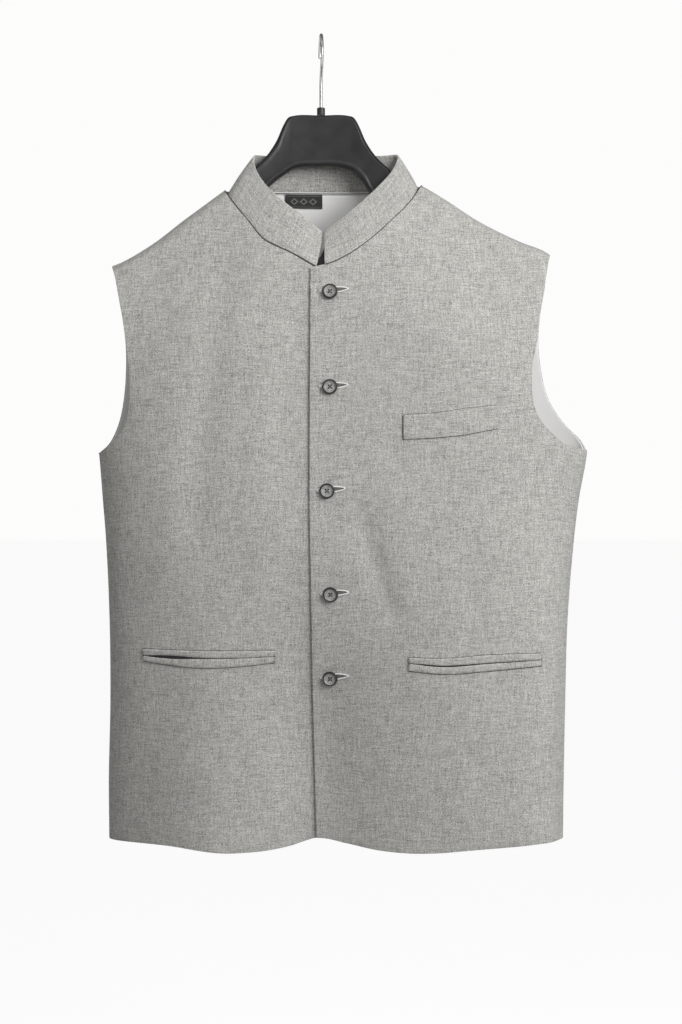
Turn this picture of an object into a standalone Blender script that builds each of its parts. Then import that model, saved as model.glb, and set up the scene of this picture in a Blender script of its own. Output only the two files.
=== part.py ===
"""A sleeveless Nehru jacket, buttoned up, on a moulded coat hanger.

Metres, +Z up. The front faces -Y and the wearer's left is +X. The origin is the top of the
hook's inside, where a rail touches it. The cloth is in panels as cut: two fronts, a back with
its lining, a stand collar, a breast welt and two pairs of pocket jets. Each panel is a patch
between its own four edges, laid on one hollow form and given a wall.
"""
import math

import bmesh
import bpy
import numpy as np
from mathutils import Matrix, Vector

# Cloth
WALL = 0.0020
LINING_WALL = 0.0010
COLLAR_WALL = 0.0024
JET_WALL = 0.0016
LABEL_WALL = 0.0005
GAP = 0.0003
LINING_GAP = 0.0007
LAP_IN = 0.0032
UNDER_SHORT = 0.0004
LAP_FADE = (-0.060, -0.020)
SEAM_FLAT = 0.0030
SEAM_EASE = 0.0013
LINING_SHORT = 0.3

# Hollow form: a ridge over the shoulders, and a front and a back swelling from it
SWEEP = 0.018
SWEEP_REACH = 0.230
FOLD_EDGE = 0.07
TWIST = {"slope": 0.150, "x": 0.0155, "from": 0.42, "to": 0.90}
SHOULDER_DROP = 0.014
CHEST_DROP = 0.170
ARM_FADE = (0.04, 0.16)
SHOULDER = {  # the top line, carried on inside the neck
    "x": (-0.2165, -0.2045, -0.1715, -0.1440, -0.1160, -0.1006, -0.0450, 0.0040,
          0.0520, 0.1055, 0.1295, 0.1630, 0.2060, 0.2310, 0.2375),
    "z": (-0.2430, -0.2379, -0.2173, -0.1954, -0.1741, -0.1626, -0.1280, -0.1120,
          -0.1260, -0.1575, -0.1725, -0.1951, -0.2172, -0.2270, -0.2310),
}
OUTLINE = {  # sides, swell of the front and back, and how square the plan is, at each height
    "z": (-0.8390, -0.7800, -0.6960, -0.6120, -0.5280, -0.4860, -0.4350, -0.3400, -0.2400, -0.1200),
    "right": (-0.2240, -0.2240, -0.2214, -0.2212, -0.2240, -0.2270, -0.2310, -0.2420, -0.2460, -0.2460),
    "left": (0.2484, 0.2495, 0.2520, 0.2553, 0.2628, 0.2682, 0.2772, 0.2790, 0.2760, 0.2740),
    "front": (0.064, 0.064, 0.066, 0.070, 0.073, 0.073, 0.072, 0.070, 0.064, 0.060),
    "back": (0.040, 0.040, 0.041, 0.043, 0.045, 0.046, 0.047, 0.046, 0.042, 0.036),
    "square": (2.0, 2.0, 2.1, 2.2, 2.3, 2.3, 2.4, 2.4, 2.4, 2.4),
}
SHOULDER_HALF = {"x": (0.0, 0.09, 0.15, 0.22, 0.24), "half": (0.013, 0.013, 0.016, 0.021, 0.021)}
FOLDS = {  # largest folds: their top and foot, half width, how far out (+) or in (-)
    "x_top": (-0.006, 0.000, -0.115, 0.240, 0.030, -0.092),
    "z_top": (-0.520, -0.520, -0.540, -0.460, -0.470, -0.200),
    "x_foot": (-0.010, 0.008, -0.120, 0.244, 0.076, -0.134),
    "z_foot": (-1.020, -1.020, -1.020, -1.020, -0.620, -0.540),
    "width": (0.042, 0.080, 0.048, 0.050, 0.013, 0.018),
    "out": (-0.0080, -0.0170, 0.0100, 0.0080, -0.0035, -0.0040),
    "fade": (0.260, 0.240, 0.260, 0.240, 0.050, 0.080),
}

# Edges of the panels in the front view
HEM = {
    "x": (-0.2240, -0.1573, -0.0936, -0.0320, -0.0007, 0.0257, 0.0596, 0.1010, 0.1672, 0.2484),
    "front": (-0.8424, -0.8428, -0.8487, -0.8437, -0.8350, -0.8388, -0.8439, -0.8450, -0.8389, -0.8316),
    "back": (-0.8424, -0.8416, -0.8408, -0.8402, -0.8399, -0.8396, -0.8389, -0.8376, -0.8350, -0.8316),
}
ARMHOLE = {  # from the underarm, share 0, to the shoulder's tip, share 1
    "share": (0.0, 0.02, 0.06, 0.13, 0.21, 0.30, 0.42, 0.56, 0.70, 0.85, 0.95, 1.0),
    "front_right": (-0.2310, -0.2250, -0.2137, -0.2020, -0.1971, -0.1947,
                    -0.1953, -0.1987, -0.2024, -0.2082, -0.2125, -0.2165),
    "back_right": (-0.2310, -0.2280, -0.2215, -0.2148, -0.2102, -0.2074,
                   -0.2055, -0.2053, -0.2077, -0.2127, -0.2150, -0.2165),
    "front_left": (0.2772, 0.2555, 0.2420, 0.2270, 0.2182, 0.2152,
                   0.2158, 0.2215, 0.2250, 0.2308, 0.2345, 0.2375),
    "back_left": (0.2772, 0.2755, 0.2710, 0.2575, 0.2458, 0.2370,
                  0.2317, 0.2288, 0.2305, 0.2352, 0.2368, 0.2375),
}
UNDERARM = {"right": -0.4385, "left": -0.4350}
TIP = {"right": -0.2430, "left": -0.2310}
NECK_RIGHT = {"x": (-0.0077, -0.0297, -0.0574, -0.0675, -0.0762, -0.0900, -0.1006),
              "z": (-0.2454, -0.2328, -0.2192, -0.2075, -0.1955, -0.1785, -0.1626)}
NECK_LEFT = {"x": (0.0047, 0.0142, 0.0322, 0.0544, 0.0729, 0.0940, 0.1055),
             "z": (-0.2461, -0.2430, -0.2330, -0.2158, -0.1981, -0.1755, -0.1575)}
NECK_BACK = {"x": (-0.1006, -0.0541, 0.0040, 0.0538, 0.1055),
             "z": (-0.1626, -0.1603, -0.1595, -0.1600, -0.1575)}
UNDER_LAP = {"x": (0.0300, 0.0120, -0.0077), "z": (-0.2520, -0.2505, -0.2454)}
OVER_LAP = {"x": (-0.0096, 0.0047), "z": (-0.2492, -0.2461)}
OVER_EDGE = {"z": (-0.8350, -0.6900, -0.5880, -0.4860, -0.2492),
             "x": (-0.0040, -0.0075, -0.0090, -0.0105, -0.0096)}
UNDER_EDGE_X = 0.0300

# Collar: its top edge above the neckline's steps, counted from the right front's end of the band
COLLAR = {
    "step": (0, 2, 3, 4, 5, 6, 7, 8, 9, 10, 11, 12, 13, 14, 15, 17, 19),
    "x": (0.0030, -0.0264, -0.0414, -0.0552, -0.0675, -0.0714, -0.0655, -0.0460, -0.0130,
          0.0205, 0.0540, 0.0755, 0.0822, 0.0755, 0.0618, 0.0347, 0.0066),
    "y": (-0.0385, -0.0415, -0.0385, -0.0300, -0.0190, -0.0032, 0.0040, 0.0090, 0.0122,
          0.0122, 0.0092, 0.0050, -0.0006, -0.0175, -0.0262, -0.0406, -0.0415),
    "z": (-0.2104, -0.1883, -0.1765, -0.1624, -0.1445, -0.1247, -0.1245, -0.1242, -0.1238,
          -0.1238, -0.1240, -0.1238, -0.1233, -0.1433, -0.1595, -0.1864, -0.2098),
}
COLLAR_LIFT = 0.0014

# Pockets on the fronts: top, slit and foot along the mouth
BREAST = {"x": (0.0848, 0.1182, 0.1464, 0.1790),
          "top": (-0.4008, -0.3987, -0.3945, -0.3909),
          "foot": (-0.4248, -0.4231, -0.4202, -0.4140)}
WAIST_RIGHT = {"x": (-0.1822, -0.1339, -0.0930, -0.0465),
               "top": (-0.6395, -0.6405, -0.6405, -0.6404),
               "slit": (-0.6464, -0.6480, -0.6483, -0.6466),
               "foot": (-0.6519, -0.6576, -0.6573, -0.6527)}
WAIST_LEFT = {"x": (0.0901, 0.1250, 0.1701, 0.2245),
              "top": (-0.6467, -0.6473, -0.6437, -0.6423),
              "slit": (-0.6525, -0.6551, -0.6520, -0.6489),
              "foot": (-0.6600, -0.6628, -0.6596, -0.6547)}
SLIT = 0.0012
JET_OFF = 0.0006

# Buttons, top to bottom
BUTTONS = {"x": (0.0098, 0.0098, 0.0068, 0.0108, 0.0108),
           "z": (-0.2747, -0.3717, -0.4774, -0.5821, -0.6687)}
BUTTON = {"radius": (0.0000, 0.0050, 0.0058, 0.0068, 0.0078, 0.0078, 0.0060, 0.0000),
          "high": (0.0016, 0.0016, 0.0026, 0.0032, 0.0026, 0.0010, 0.0000, 0.0000)}
BUTTON_OFF = 0.0014
BUTTON_SIDES = 16
HOLE_RADIUS = 0.0008
HOLE_OUT = 0.0019

# Label inside the back neck
LABEL_X = (-0.0375, 0.0010)
LABEL_Z = (-0.1770, -0.1632)
LABEL_OFF = 1.22

# Hanger
HANGER_TOP = {"x": (0.0, 0.0290, 0.0350, 0.0400, 0.0460, 0.0535, 0.0600, 0.0720, 0.0820, 0.0940),
              "z": (-0.0823, -0.0830, -0.0855, -0.0940, -0.1080, -0.1205, -0.1285, -0.1402, -0.1540, -0.1685)}
HANGER_FOOT = {"x": (-0.215, -0.150, -0.100, -0.075, -0.054, -0.041, -0.027, -0.004,
                     0.022, 0.035, 0.043, 0.052, 0.075, 0.100, 0.150, 0.215),
               "z": (-0.272, -0.236, -0.206, -0.186, -0.158, -0.147, -0.1385, -0.1365,
                     -0.1375, -0.143, -0.152, -0.166, -0.186, -0.201, -0.226, -0.254)}
HANGER_REACH = 0.205
HANGER_UNDER = 0.0065
HANGER_IN = 0.0055
HANGER_NECK_HALF = 0.0070
HANGER_SQUARE = 2.6
HANGER_RING = 12
HANGER_END = 0.012
FERRULE_RADIUS = 0.0042
FERRULE_TOP = -0.0745
FERRULE_FOOT = -0.0820
FERRULE_BORE = 0.0020
FERRULE_FLOOR = -0.0800
WIRE = 0.0016
HOOK_RADIUS = 0.0200
HOOK_TURN = 232.0
HOOK_SHANK = -0.0520
HOOK_YAW = 4.0

CLOTH = (0.43, 0.42, 0.40)
SATIN = (0.60, 0.60, 0.58)
BLACK = (0.02, 0.02, 0.02)
STEEL = (0.55, 0.55, 0.54)

# How many steps each edge is cut into
LAP_STEPS = 2
NECK_STEPS = 6
SHOULDER_STEPS = 6
SIDE_STEPS = 9
BACK_NECK_SHARES = (0.0, 0.06, 0.2, 0.4, 0.6, 0.8, 0.94, 1.0)
ARM_SHARES = (0.0, 0.12, 0.26, 0.42, 0.58, 0.73, 0.85, 0.93, 0.975, 1.0)


def smooth(v, low, high):
    """0 below low, 1 above high, and a smooth S between them."""
    t = np.clip((v - low) / (high - low), 0.0, 1.0)
    return t * t * (3.0 - 2.0 * t)


def through(x, xs, ys):
    """Smooth curve through a table: cubic pieces whose slope at a row is the mean of its neighbours'."""
    xs = np.asarray(xs, float)
    ys = np.asarray(ys, float)
    step = np.diff(ys) / np.diff(xs)
    slope = np.concatenate([step[:1], (step[1:] + step[:-1]) / 2.0, step[-1:]])
    x = np.clip(x, xs[0], xs[-1])
    i = np.clip(np.searchsorted(xs, x, side="right") - 1, 0, len(xs) - 2)
    w = xs[i + 1] - xs[i]
    t = (x - xs[i]) / w
    start = (1.0 + 2.0 * t) * (1.0 - t) ** 2 * ys[i] + t * (1.0 - t) ** 2 * w * slope[i]
    return start + t * t * (3.0 - 2.0 * t) * ys[i + 1] + t * t * (t - 1.0) * w * slope[i + 1]


def at(table, column, x, key="x"):
    return through(x, table[key], table[column])


def ridge(x, z=0.0):
    """The seams' plane, swept forward towards the shoulder tips, and turned a little as it hangs down."""
    turn = TWIST["slope"] * smooth(-z, TWIST["from"], TWIST["to"])
    return -SWEEP * smooth(np.abs(x), 0.0, SWEEP_REACH) - turn * (x - TWIST["x"])


def shoulder(x):
    return at(SHOULDER, "z", x)


def share_out(x, z):
    """0 on the middle of the panel's plan at a height, 1 at the side seams."""
    right = at(OUTLINE, "right", z, "z")
    left = at(OUTLINE, "left", z, "z")
    return np.clip(np.abs(x - (left + right) / 2.0) / ((left - right) / 2.0), 0.0, 1.0)


def swell(x, z, side):
    """How far the cloth stands off the ridge: a round roll over the shoulder, then the chest.

    Both are rounded in plan by (1 - share^square)^1/2, which is 0 at the side seams.
    """
    drop = np.maximum(shoulder(x) - z, 0.0)
    plan = np.sqrt(1.0 - share_out(x, z) ** at(OUTLINE, "square", z, "z"))
    half = at(SHOULDER_HALF, "half", np.abs(x))
    roll = np.sqrt(1.0 - (1.0 - np.minimum(drop / SHOULDER_DROP, 1.0)) ** 2)
    chest = np.sin(math.pi / 2.0 * np.minimum(drop / CHEST_DROP, 1.0))
    full = at(OUTLINE, side, z, "z")
    over = (half - SEAM_FLAT) * roll * plan ** smooth(drop, *ARM_FADE)
    return SEAM_FLAT + over + plan * (full - half) * chest


def folds(x, z):
    """Sum of the folds: a bell across each one's line, faded in from its top and out at its foot."""
    out = np.zeros_like(x)
    for xt, zt, xf, zf, width, far, fade in zip(*FOLDS.values()):
        along = np.hypot(xf - xt, zf - zt)
        ux, uz = (xf - xt) / along, (zf - zt) / along
        s = (x - xt) * ux + (z - zt) * uz
        across = (x - xt) * uz - (z - zt) * ux
        shown = smooth(s, 0.0, fade) * (1.0 - smooth(s, along - fade / 2.0, along))
        out += far * np.exp(-(across / width) ** 2) * shown
    return out * smooth(1.0 - share_out(x, z), 0.0, FOLD_EDGE)


def front_y(x, z):
    return ridge(x, z) - swell(x, z, "front") - folds(x, z)


def back_y(x, z):
    return ridge(x, z) + swell(x, z, "back")


def dense(table, count=400):
    """A table's x and z columns as a fine line, through its own points in order."""
    x = np.asarray(table["x"], float)
    z = np.asarray(table["z"], float)
    far = np.concatenate([[0.0], np.cumsum(np.hypot(np.diff(x), np.diff(z)))])
    t = np.linspace(0.0, far[-1], count)
    return np.stack([through(t, far, x), through(t, far, z)], 1)


def spaced(line, shares):
    """Points of a fine line at the given shares of its length."""
    far = np.concatenate([[0.0], np.cumsum(np.hypot(*np.diff(line, axis=0).T))])
    t = np.asarray(shares) * far[-1]
    return np.stack([np.interp(t, far, line[:, k]) for k in (0, 1)], 1)


def joined(*edges):
    """Edges end to end, each one's first point given up to the one before."""
    return np.concatenate([edges[0]] + [edge[1:] for edge in edges[1:]])


def side_seam(side):
    """From hem to underarm."""
    foot = at(HEM, "front", at(OUTLINE, side, -0.8390, "z"))
    z = np.linspace(foot, UNDERARM[side], SIDE_STEPS + 1)
    return np.stack([at(OUTLINE, side, z, "z"), z], 1)


def armhole(face, side):
    """From underarm to the tip of the shoulder."""
    share = np.linspace(0.0, 1.0, 400) ** 1.5
    z = UNDERARM[side] + share * (TIP[side] - UNDERARM[side])
    x = at(ARMHOLE, face + "_" + side, share, "share")
    return spaced(np.stack([x, z], 1), ARM_SHARES)


def shoulder_seam(side):
    """From the neck out to the tip."""
    start, end = {"right": (-0.1006, -0.2165), "left": (0.1055, 0.2375)}[side]
    x = np.linspace(start, end, 400)
    return spaced(np.stack([x, shoulder(x)], 1), np.linspace(0.0, 1.0, SHOULDER_STEPS + 1))


def neck(table, steps):
    return spaced(dense(table), np.linspace(0.0, 1.0, steps + 1))


def back_neck():
    return spaced(dense(NECK_BACK), BACK_NECK_SHARES)


def hem(face, start, end, count):
    """Hem points, closer together towards the side seam at the end."""
    u = np.linspace(0.0, 1.0, count)
    x = start + (end - start) * (0.5 * u + 0.5 * np.sin(math.pi / 2.0 * u))
    return np.stack([x, at(HEM, face, x)], 1)


def lengths(line):
    """Share of the length at each point of an edge."""
    far = np.concatenate([[0.0], np.cumsum(np.hypot(*np.diff(line, axis=0).T))])
    return far / far[-1]


def patch(foot, top, first, last):
    """Coons patch: both pairs of edges blended straight across, less the corners counted twice."""
    u = ((lengths(foot) + lengths(top)) / 2.0)[None, :, None]
    v = lengths(last)[:, None, None]
    across = (1.0 - v) * foot[None] + v * top[None]
    up = (1.0 - u) * first[:, None] + u * last[:, None]
    corners = ((1.0 - u) * (1.0 - v) * foot[0] + u * (1.0 - v) * foot[-1]
               + (1.0 - u) * v * top[0] + u * v * top[-1])
    return across + up - corners


def toward(edge, inside, far):
    """Points moved from an edge towards the next line of the patch."""
    step = inside - edge
    return edge + step * np.minimum(far / np.linalg.norm(step, axis=-1, keepdims=True), 0.5)


def stack(plan, y):
    return np.stack([plan[..., 0], y, plan[..., 1]], -1)


def unit(v):
    return v / np.linalg.norm(v, axis=-1, keepdims=True)


def normals(grid):
    """Unit normals of a grid of points: the mean of the faces that meet at each."""
    face = unit(np.cross(grid[1:, 1:] - grid[:-1, :-1], grid[1:, :-1] - grid[:-1, 1:]))
    face = np.pad(face, ((1, 1), (1, 1), (0, 0)))
    return unit(face[1:, 1:] + face[:-1, 1:] + face[1:, :-1] + face[:-1, :-1])


def seam_y(y, plan, way):
    """Lays a seam's points half a gap from the ridge, and its ends, where the wall turns, further off."""
    y[:] = ridge(plan[:, 0], plan[:, 1]) + way * GAP / 2.0
    y[[0, -1]] += way * SEAM_EASE


def front_panel(side):
    """One front: columns run from its front edge to its side, rows from hem to shoulder.

    The last strip of a seam is flat along Y, so that the wall's rim lies in the ridge's plane.
    """
    seam = side_seam(side)
    outer = joined(seam, armhole("front", side))
    lap = OVER_LAP if side == "left" else UNDER_LAP
    line = NECK_LEFT if side == "left" else NECK_RIGHT
    top = joined(neck(lap, LAP_STEPS), neck(line, NECK_STEPS), shoulder_seam(side))
    share = lengths(outer)
    if side == "left":
        z = OVER_EDGE["z"][0] + share * (top[0, 1] - OVER_EDGE["z"][0])
        inner = np.stack([at(OVER_EDGE, "x", z, "z"), z], 1)
    else:
        foot_z = at(HEM, "front", UNDER_EDGE_X) + UNDER_SHORT
        z = foot_z + share * (top[0, 1] - foot_z)
        inner = np.stack([np.full_like(z, UNDER_EDGE_X), z], 1)
    foot = hem("front", inner[0, 0], outer[0, 0], len(top))
    foot[:, 1] += UNDER_SHORT * smooth(foot[:, 0], -0.060, -0.010) * (side == "right")
    foot[0] = inner[0]
    plan = patch(foot, top, inner, outer)
    shoulder_from = LAP_STEPS + NECK_STEPS
    strip = toward(plan[:, -1], plan[:, -2], SEAM_FLAT)
    strip[:SIDE_STEPS + 1] = plan[:SIDE_STEPS + 1, -1]
    plan = np.concatenate([plan[:, :-1], strip[:, None], plan[:, -1:]], 1)
    strip = toward(plan[-1], plan[-2], SEAM_FLAT)
    strip[shoulder_from:] = plan[-1, shoulder_from:]
    plan = np.concatenate([plan[:-1], strip[None], plan[-1:]], 0)
    y = front_y(plan[..., 0], plan[..., 1])
    seam_y(y[:SIDE_STEPS + 1, -1], plan[:SIDE_STEPS + 1, -1], -1.0)
    seam_y(y[-1, shoulder_from:], plan[-1, shoulder_from:], -1.0)
    grid = stack(plan, y)
    if side == "left":
        return grid
    return grid + normals(grid) * LAP_IN * smooth(plan[..., 0], *LAP_FADE)[..., None]


def back_panel():
    """The back: columns run from the right side to the left one, rows from hem to shoulders."""
    right = joined(side_seam("right"), armhole("back", "right"))
    left = joined(side_seam("left"), armhole("back", "left"))
    top = joined(shoulder_seam("right")[::-1], back_neck(), shoulder_seam("left"))
    u = np.linspace(-1.0, 1.0, len(top))
    x = (right[0, 0] + left[0, 0]) / 2.0 + (left[0, 0] - right[0, 0]) / 4.0 * (u + np.sin(math.pi / 2.0 * u))
    foot = np.stack([x, at(HEM, "back", x)], 1)
    plan = patch(foot, top, right, left)
    columns = []
    for edge, inside in ((0, 1), (-1, -2)):
        strip = toward(plan[:, edge], plan[:, inside], SEAM_FLAT)
        strip[:SIDE_STEPS + 1] = plan[:SIDE_STEPS + 1, edge]
        columns.append(strip[:, None])
    plan = np.concatenate([plan[:, :1], columns[0], plan[:, 1:-1], columns[1], plan[:, -1:]], 1)
    on_shoulder = np.ones(plan.shape[1], bool)
    on_shoulder[SHOULDER_STEPS + 2:-SHOULDER_STEPS - 2] = False
    strip = toward(plan[-1], plan[-2], SEAM_FLAT)
    strip[on_shoulder] = plan[-1, on_shoulder]
    plan = np.concatenate([plan[:-1], strip[None], plan[-1:]], 0)
    y = back_y(plan[..., 0], plan[..., 1])
    for edge in (0, -1):
        seam_y(y[:SIDE_STEPS + 1, edge], plan[:SIDE_STEPS + 1, edge], 1.0)
    for part in (slice(None, SHOULDER_STEPS + 2), slice(-SHOULDER_STEPS - 2, None)):
        seam_y(y[-1, part], plan[-1, part], 1.0)
    return stack(plan, y)


def lining_panel(back):
    """The back's points inside its seams, moved in past its wall, and short of the hem."""
    grid = (back + normals(back) * (WALL + LINING_GAP))[:-1, 1:-1]
    grid[0] += (grid[1] - grid[0]) * LINING_SHORT
    return grid


def on_front(x, z, out):
    """Points of the front at x and z, moved out along its normal."""
    step = 1e-4
    dx = (front_y(x + step, z) - front_y(x - step, z)) / (2.0 * step)
    dz = (front_y(x, z + step) - front_y(x, z - step)) / (2.0 * step)
    n = np.stack([dx, -np.ones_like(x), dz], -1)
    n /= np.linalg.norm(n, axis=-1, keepdims=True)
    return np.stack([x, front_y(x, z), z], -1) + n * out, n


def finish(name, colour, roughness, metallic=0.0):
    look = bpy.data.materials.new(name + "_finish")
    look.use_nodes = True
    shader = look.node_tree.nodes["Principled BSDF"]
    shader.inputs["Base Color"].default_value = (*colour, 1.0)
    shader.inputs["Roughness"].default_value = roughness
    shader.inputs["Metallic"].default_value = metallic
    return look


def add(name, mesh, colour, roughness, metallic=0.0):
    """One piece: its object in the jacket's collection, with its own finish."""
    piece = bpy.data.objects.new(name, mesh)
    JACKET.objects.link(piece)
    mesh.materials.append(finish(name, colour, roughness, metallic))
    return piece


def grid_mesh(name, grid, flip=False, ring=False):
    """Quads over a grid of points; a ring also joins the last column to the first."""
    rows, columns = grid.shape[:2]
    index = np.arange(rows * columns).reshape(rows, columns)
    if ring:
        index = np.concatenate([index, index[:, :1]], 1)
    quads = np.stack([index[:-1, :-1], index[:-1, 1:], index[1:, 1:], index[1:, :-1]], -1).reshape(-1, 4)
    if flip:
        quads = quads[:, ::-1]
    mesh = bpy.data.meshes.new(name)
    mesh.from_pydata(grid.reshape(-1, 3).tolist(), [], quads.tolist())
    mesh.shade_smooth()
    return mesh


def wall(piece, thickness, offset):
    """Solidify: offset -1 puts the wall behind the surface, 1 in front of it."""
    solid = piece.modifiers.new("wall", "SOLIDIFY")
    solid.thickness = thickness
    solid.offset = offset
    solid.use_quality_normals = True


def cloth(name, grid, thickness, offset=-1.0, flip=False, colour=CLOTH, roughness=0.9):
    piece = add(name, grid_mesh(name, grid, flip), colour, roughness)
    wall(piece, thickness, offset)
    return piece


def neckline():
    """The collar's seam: round the right front, the back and the left front, with its depth."""
    plan = joined(neck(NECK_RIGHT, NECK_STEPS), back_neck(),
                  neck(NECK_LEFT, NECK_STEPS)[::-1])
    x, z = plan.T
    y = front_y(x, z)
    y[:NECK_STEPS] += LAP_IN * smooth(x[:NECK_STEPS], *LAP_FADE)
    last = NECK_STEPS + len(BACK_NECK_SHARES) - 1
    y[NECK_STEPS:last] = back_y(x, z)[NECK_STEPS:last]
    y[[NECK_STEPS, last]] = ridge(x[[NECK_STEPS, last]])
    return stack(plan, y)


def make_collar():
    """A band ruled from the neckline up to its own top edge, which leans in towards the neck."""
    foot = neckline()
    step = np.arange(len(foot))
    top = np.stack([at(COLLAR, axis, step, "step") for axis in "xyz"], 1)
    low = foot + unit(top - foot) * COLLAR_LIFT
    grid = np.stack([low + (top - low) * t for t in (0.0, 0.5, 1.0)])
    return cloth("collar", grid, COLLAR_WALL, 0.0)


def make_strip(name, table, upper, lower, shift_upper=0.0, shift_lower=0.0):
    """A strip of cloth on the front between two lines of a pocket's table."""
    x = np.linspace(table["x"][0], table["x"][-1], 9)
    high = at(table, upper, x) + shift_upper
    low = at(table, lower, x) + shift_lower
    xs = np.stack([x, x, x])
    zs = np.stack([low, (low + high) / 2.0, high])
    grid, _ = on_front(xs, zs, JET_OFF)
    return cloth(name, grid, JET_WALL, 1.0)


def make_button(name, x, z, cutter):
    """A dished disc with a raised rim and four thread holes, turned to face out of the front."""
    mesh = bpy.data.meshes.new(name)
    profile = [(r, 0.0, h) for r, h in zip(BUTTON["radius"], BUTTON["high"])]
    mesh.from_pydata(profile, [(i, i + 1) for i in range(len(profile) - 1)], [])
    piece = add(name, mesh, BLACK, 0.35)
    turn = piece.modifiers.new("turn", "SCREW")
    turn.steps = turn.render_steps = BUTTON_SIDES
    turn.use_merge_vertices = True
    turn.merge_threshold = 0.00005
    turn.use_smooth_shade = True
    holes = piece.modifiers.new("holes", "BOOLEAN")
    holes.object = cutter
    holes.operation = "DIFFERENCE"
    point, n = on_front(np.array([x]), np.array([z]), BUTTON_OFF)
    place = Vector(n[0]).to_track_quat("Z", "Y").to_matrix().to_4x4()
    piece.matrix_world = Matrix.Translation(Vector(point[0])) @ place
    drill = cutter.copy()
    drill.name = name + "_holes"
    CUTTERS.objects.link(drill)
    drill.matrix_world = piece.matrix_world
    holes.object = drill
    return piece


def hole_cutter():
    """Four short pins in a square, for the holes of one button."""
    mesh = bpy.data.meshes.new("button_holes")
    shape = bmesh.new()
    for turn in range(4):
        angle = math.pi / 4.0 + turn * math.pi / 2.0
        place = Matrix.Translation((HOLE_OUT * math.cos(angle), HOLE_OUT * math.sin(angle), 0.001))
        bmesh.ops.create_cone(shape, cap_ends=True, segments=6, radius1=HOLE_RADIUS,
                              radius2=HOLE_RADIUS, depth=0.008, matrix=place)
    shape.to_mesh(mesh)
    shape.free()
    cutter = bpy.data.objects.new("button_holes", mesh)
    CUTTERS.objects.link(cutter)
    return cutter


def hanger_edge_top(x):
    """Neck of the hanger near the middle, then just under the shoulder seams."""
    on_neck = np.abs(x) <= HANGER_TOP["x"][-1]
    return np.where(on_neck, at(HANGER_TOP, "z", np.abs(x)), shoulder(x) - HANGER_UNDER)


def make_hanger():
    """Loft of squared ellipses along X, under the shoulder line, drawn in to round ends."""
    bare = np.array([0.0, 0.015, 0.028, 0.034, 0.038, 0.042, 0.046, 0.0525, 0.060, 0.072, 0.082, 0.094,
                     0.112, 0.138, 0.165, 0.185, HANGER_REACH - HANGER_END])
    ends = HANGER_REACH - HANGER_END * (1.0 - np.sin(np.radians((25.0, 50.0, 72.0, 85.0))))
    half = np.concatenate([bare, ends])
    x = np.concatenate([-half[:0:-1], half])
    past = np.maximum(np.abs(x) - (HANGER_REACH - HANGER_END), 0.0) / HANGER_END
    draw = np.sqrt(np.maximum(1.0 - past ** 2, 0.0))
    top = hanger_edge_top(x)
    foot = at(HANGER_FOOT, "z", x)
    thick = np.where(np.abs(x) < 0.06, HANGER_NECK_HALF, at(SHOULDER_HALF, "half", np.abs(x)) - HANGER_IN)
    angle = np.linspace(0.0, 2.0 * math.pi, HANGER_RING, endpoint=False)
    power = 2.0 / HANGER_SQUARE
    ring_y = np.sign(np.cos(angle)) * np.abs(np.cos(angle)) ** power
    ring_z = np.sign(np.sin(angle)) * np.abs(np.sin(angle)) ** power
    y = ridge(x)[:, None] + thick[:, None] * draw[:, None] * ring_y[None]
    z = ((top + foot) / 2.0)[:, None] + ((top - foot) / 2.0 * draw)[:, None] * ring_z[None]
    grid = np.stack([np.repeat(x[:, None], HANGER_RING, 1), y, z], -1)
    mesh = grid_mesh("hanger_body", grid, flip=False, ring=True)
    shape = bmesh.new()
    shape.from_mesh(mesh)
    bmesh.ops.holes_fill(shape, edges=shape.edges)
    bmesh.ops.recalc_face_normals(shape, faces=shape.faces)
    shape.to_mesh(mesh)
    shape.free()
    return add("hanger_body", mesh, BLACK, 0.4)


def make_ferrule():
    """A turned socket on the hanger's neck, with a bore for the hook's wire."""
    mesh = bpy.data.meshes.new("hanger_ferrule")
    profile = [(0.0, FERRULE_FLOOR), (FERRULE_BORE, FERRULE_FLOOR), (FERRULE_BORE, FERRULE_TOP),
               (FERRULE_RADIUS - 0.0006, FERRULE_TOP), (FERRULE_RADIUS, FERRULE_TOP - 0.0006),
               (FERRULE_RADIUS, FERRULE_FOOT), (0.0, FERRULE_FOOT)]
    mesh.from_pydata([(r, 0.0, z) for r, z in profile], [(i, i + 1) for i in range(len(profile) - 1)], [])
    piece = add("hanger_ferrule", mesh, BLACK, 0.4)
    turn = piece.modifiers.new("turn", "SCREW")
    turn.steps = turn.render_steps = 20
    turn.use_merge_vertices = True
    turn.merge_threshold = 0.00005
    return piece


def hook_route():
    """Round from the open tip over the rail and back under, then an S into the straight shank."""
    centre = -(HOOK_RADIUS - WIRE)
    turn = np.radians(np.linspace(0.0, HOOK_TURN, 24))
    y = HOOK_RADIUS * np.cos(turn)
    z = centre + HOOK_RADIUS * np.sin(turn)
    start = np.array([y[-1], z[-1]])
    heading = np.array([-math.sin(turn[-1]), math.cos(turn[-1])])
    end = np.array([0.0, HOOK_SHANK])
    reach = 0.45 * np.linalg.norm(end - start)
    t = np.linspace(0.0, 1.0, 9)[1:, None]
    bend = ((1 - t) ** 3 * start + 3 * t * (1 - t) ** 2 * (start + heading * reach)
            + 3 * t ** 2 * (1 - t) * (end + np.array([0.0, reach])) + t ** 3 * end)
    foot = FERRULE_FLOOR + GAP
    return [(0.0, a, b) for a, b in zip(y, z)] + [(0.0, a, b) for a, b in bend] + [(0.0, 0.0, foot)]


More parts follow.
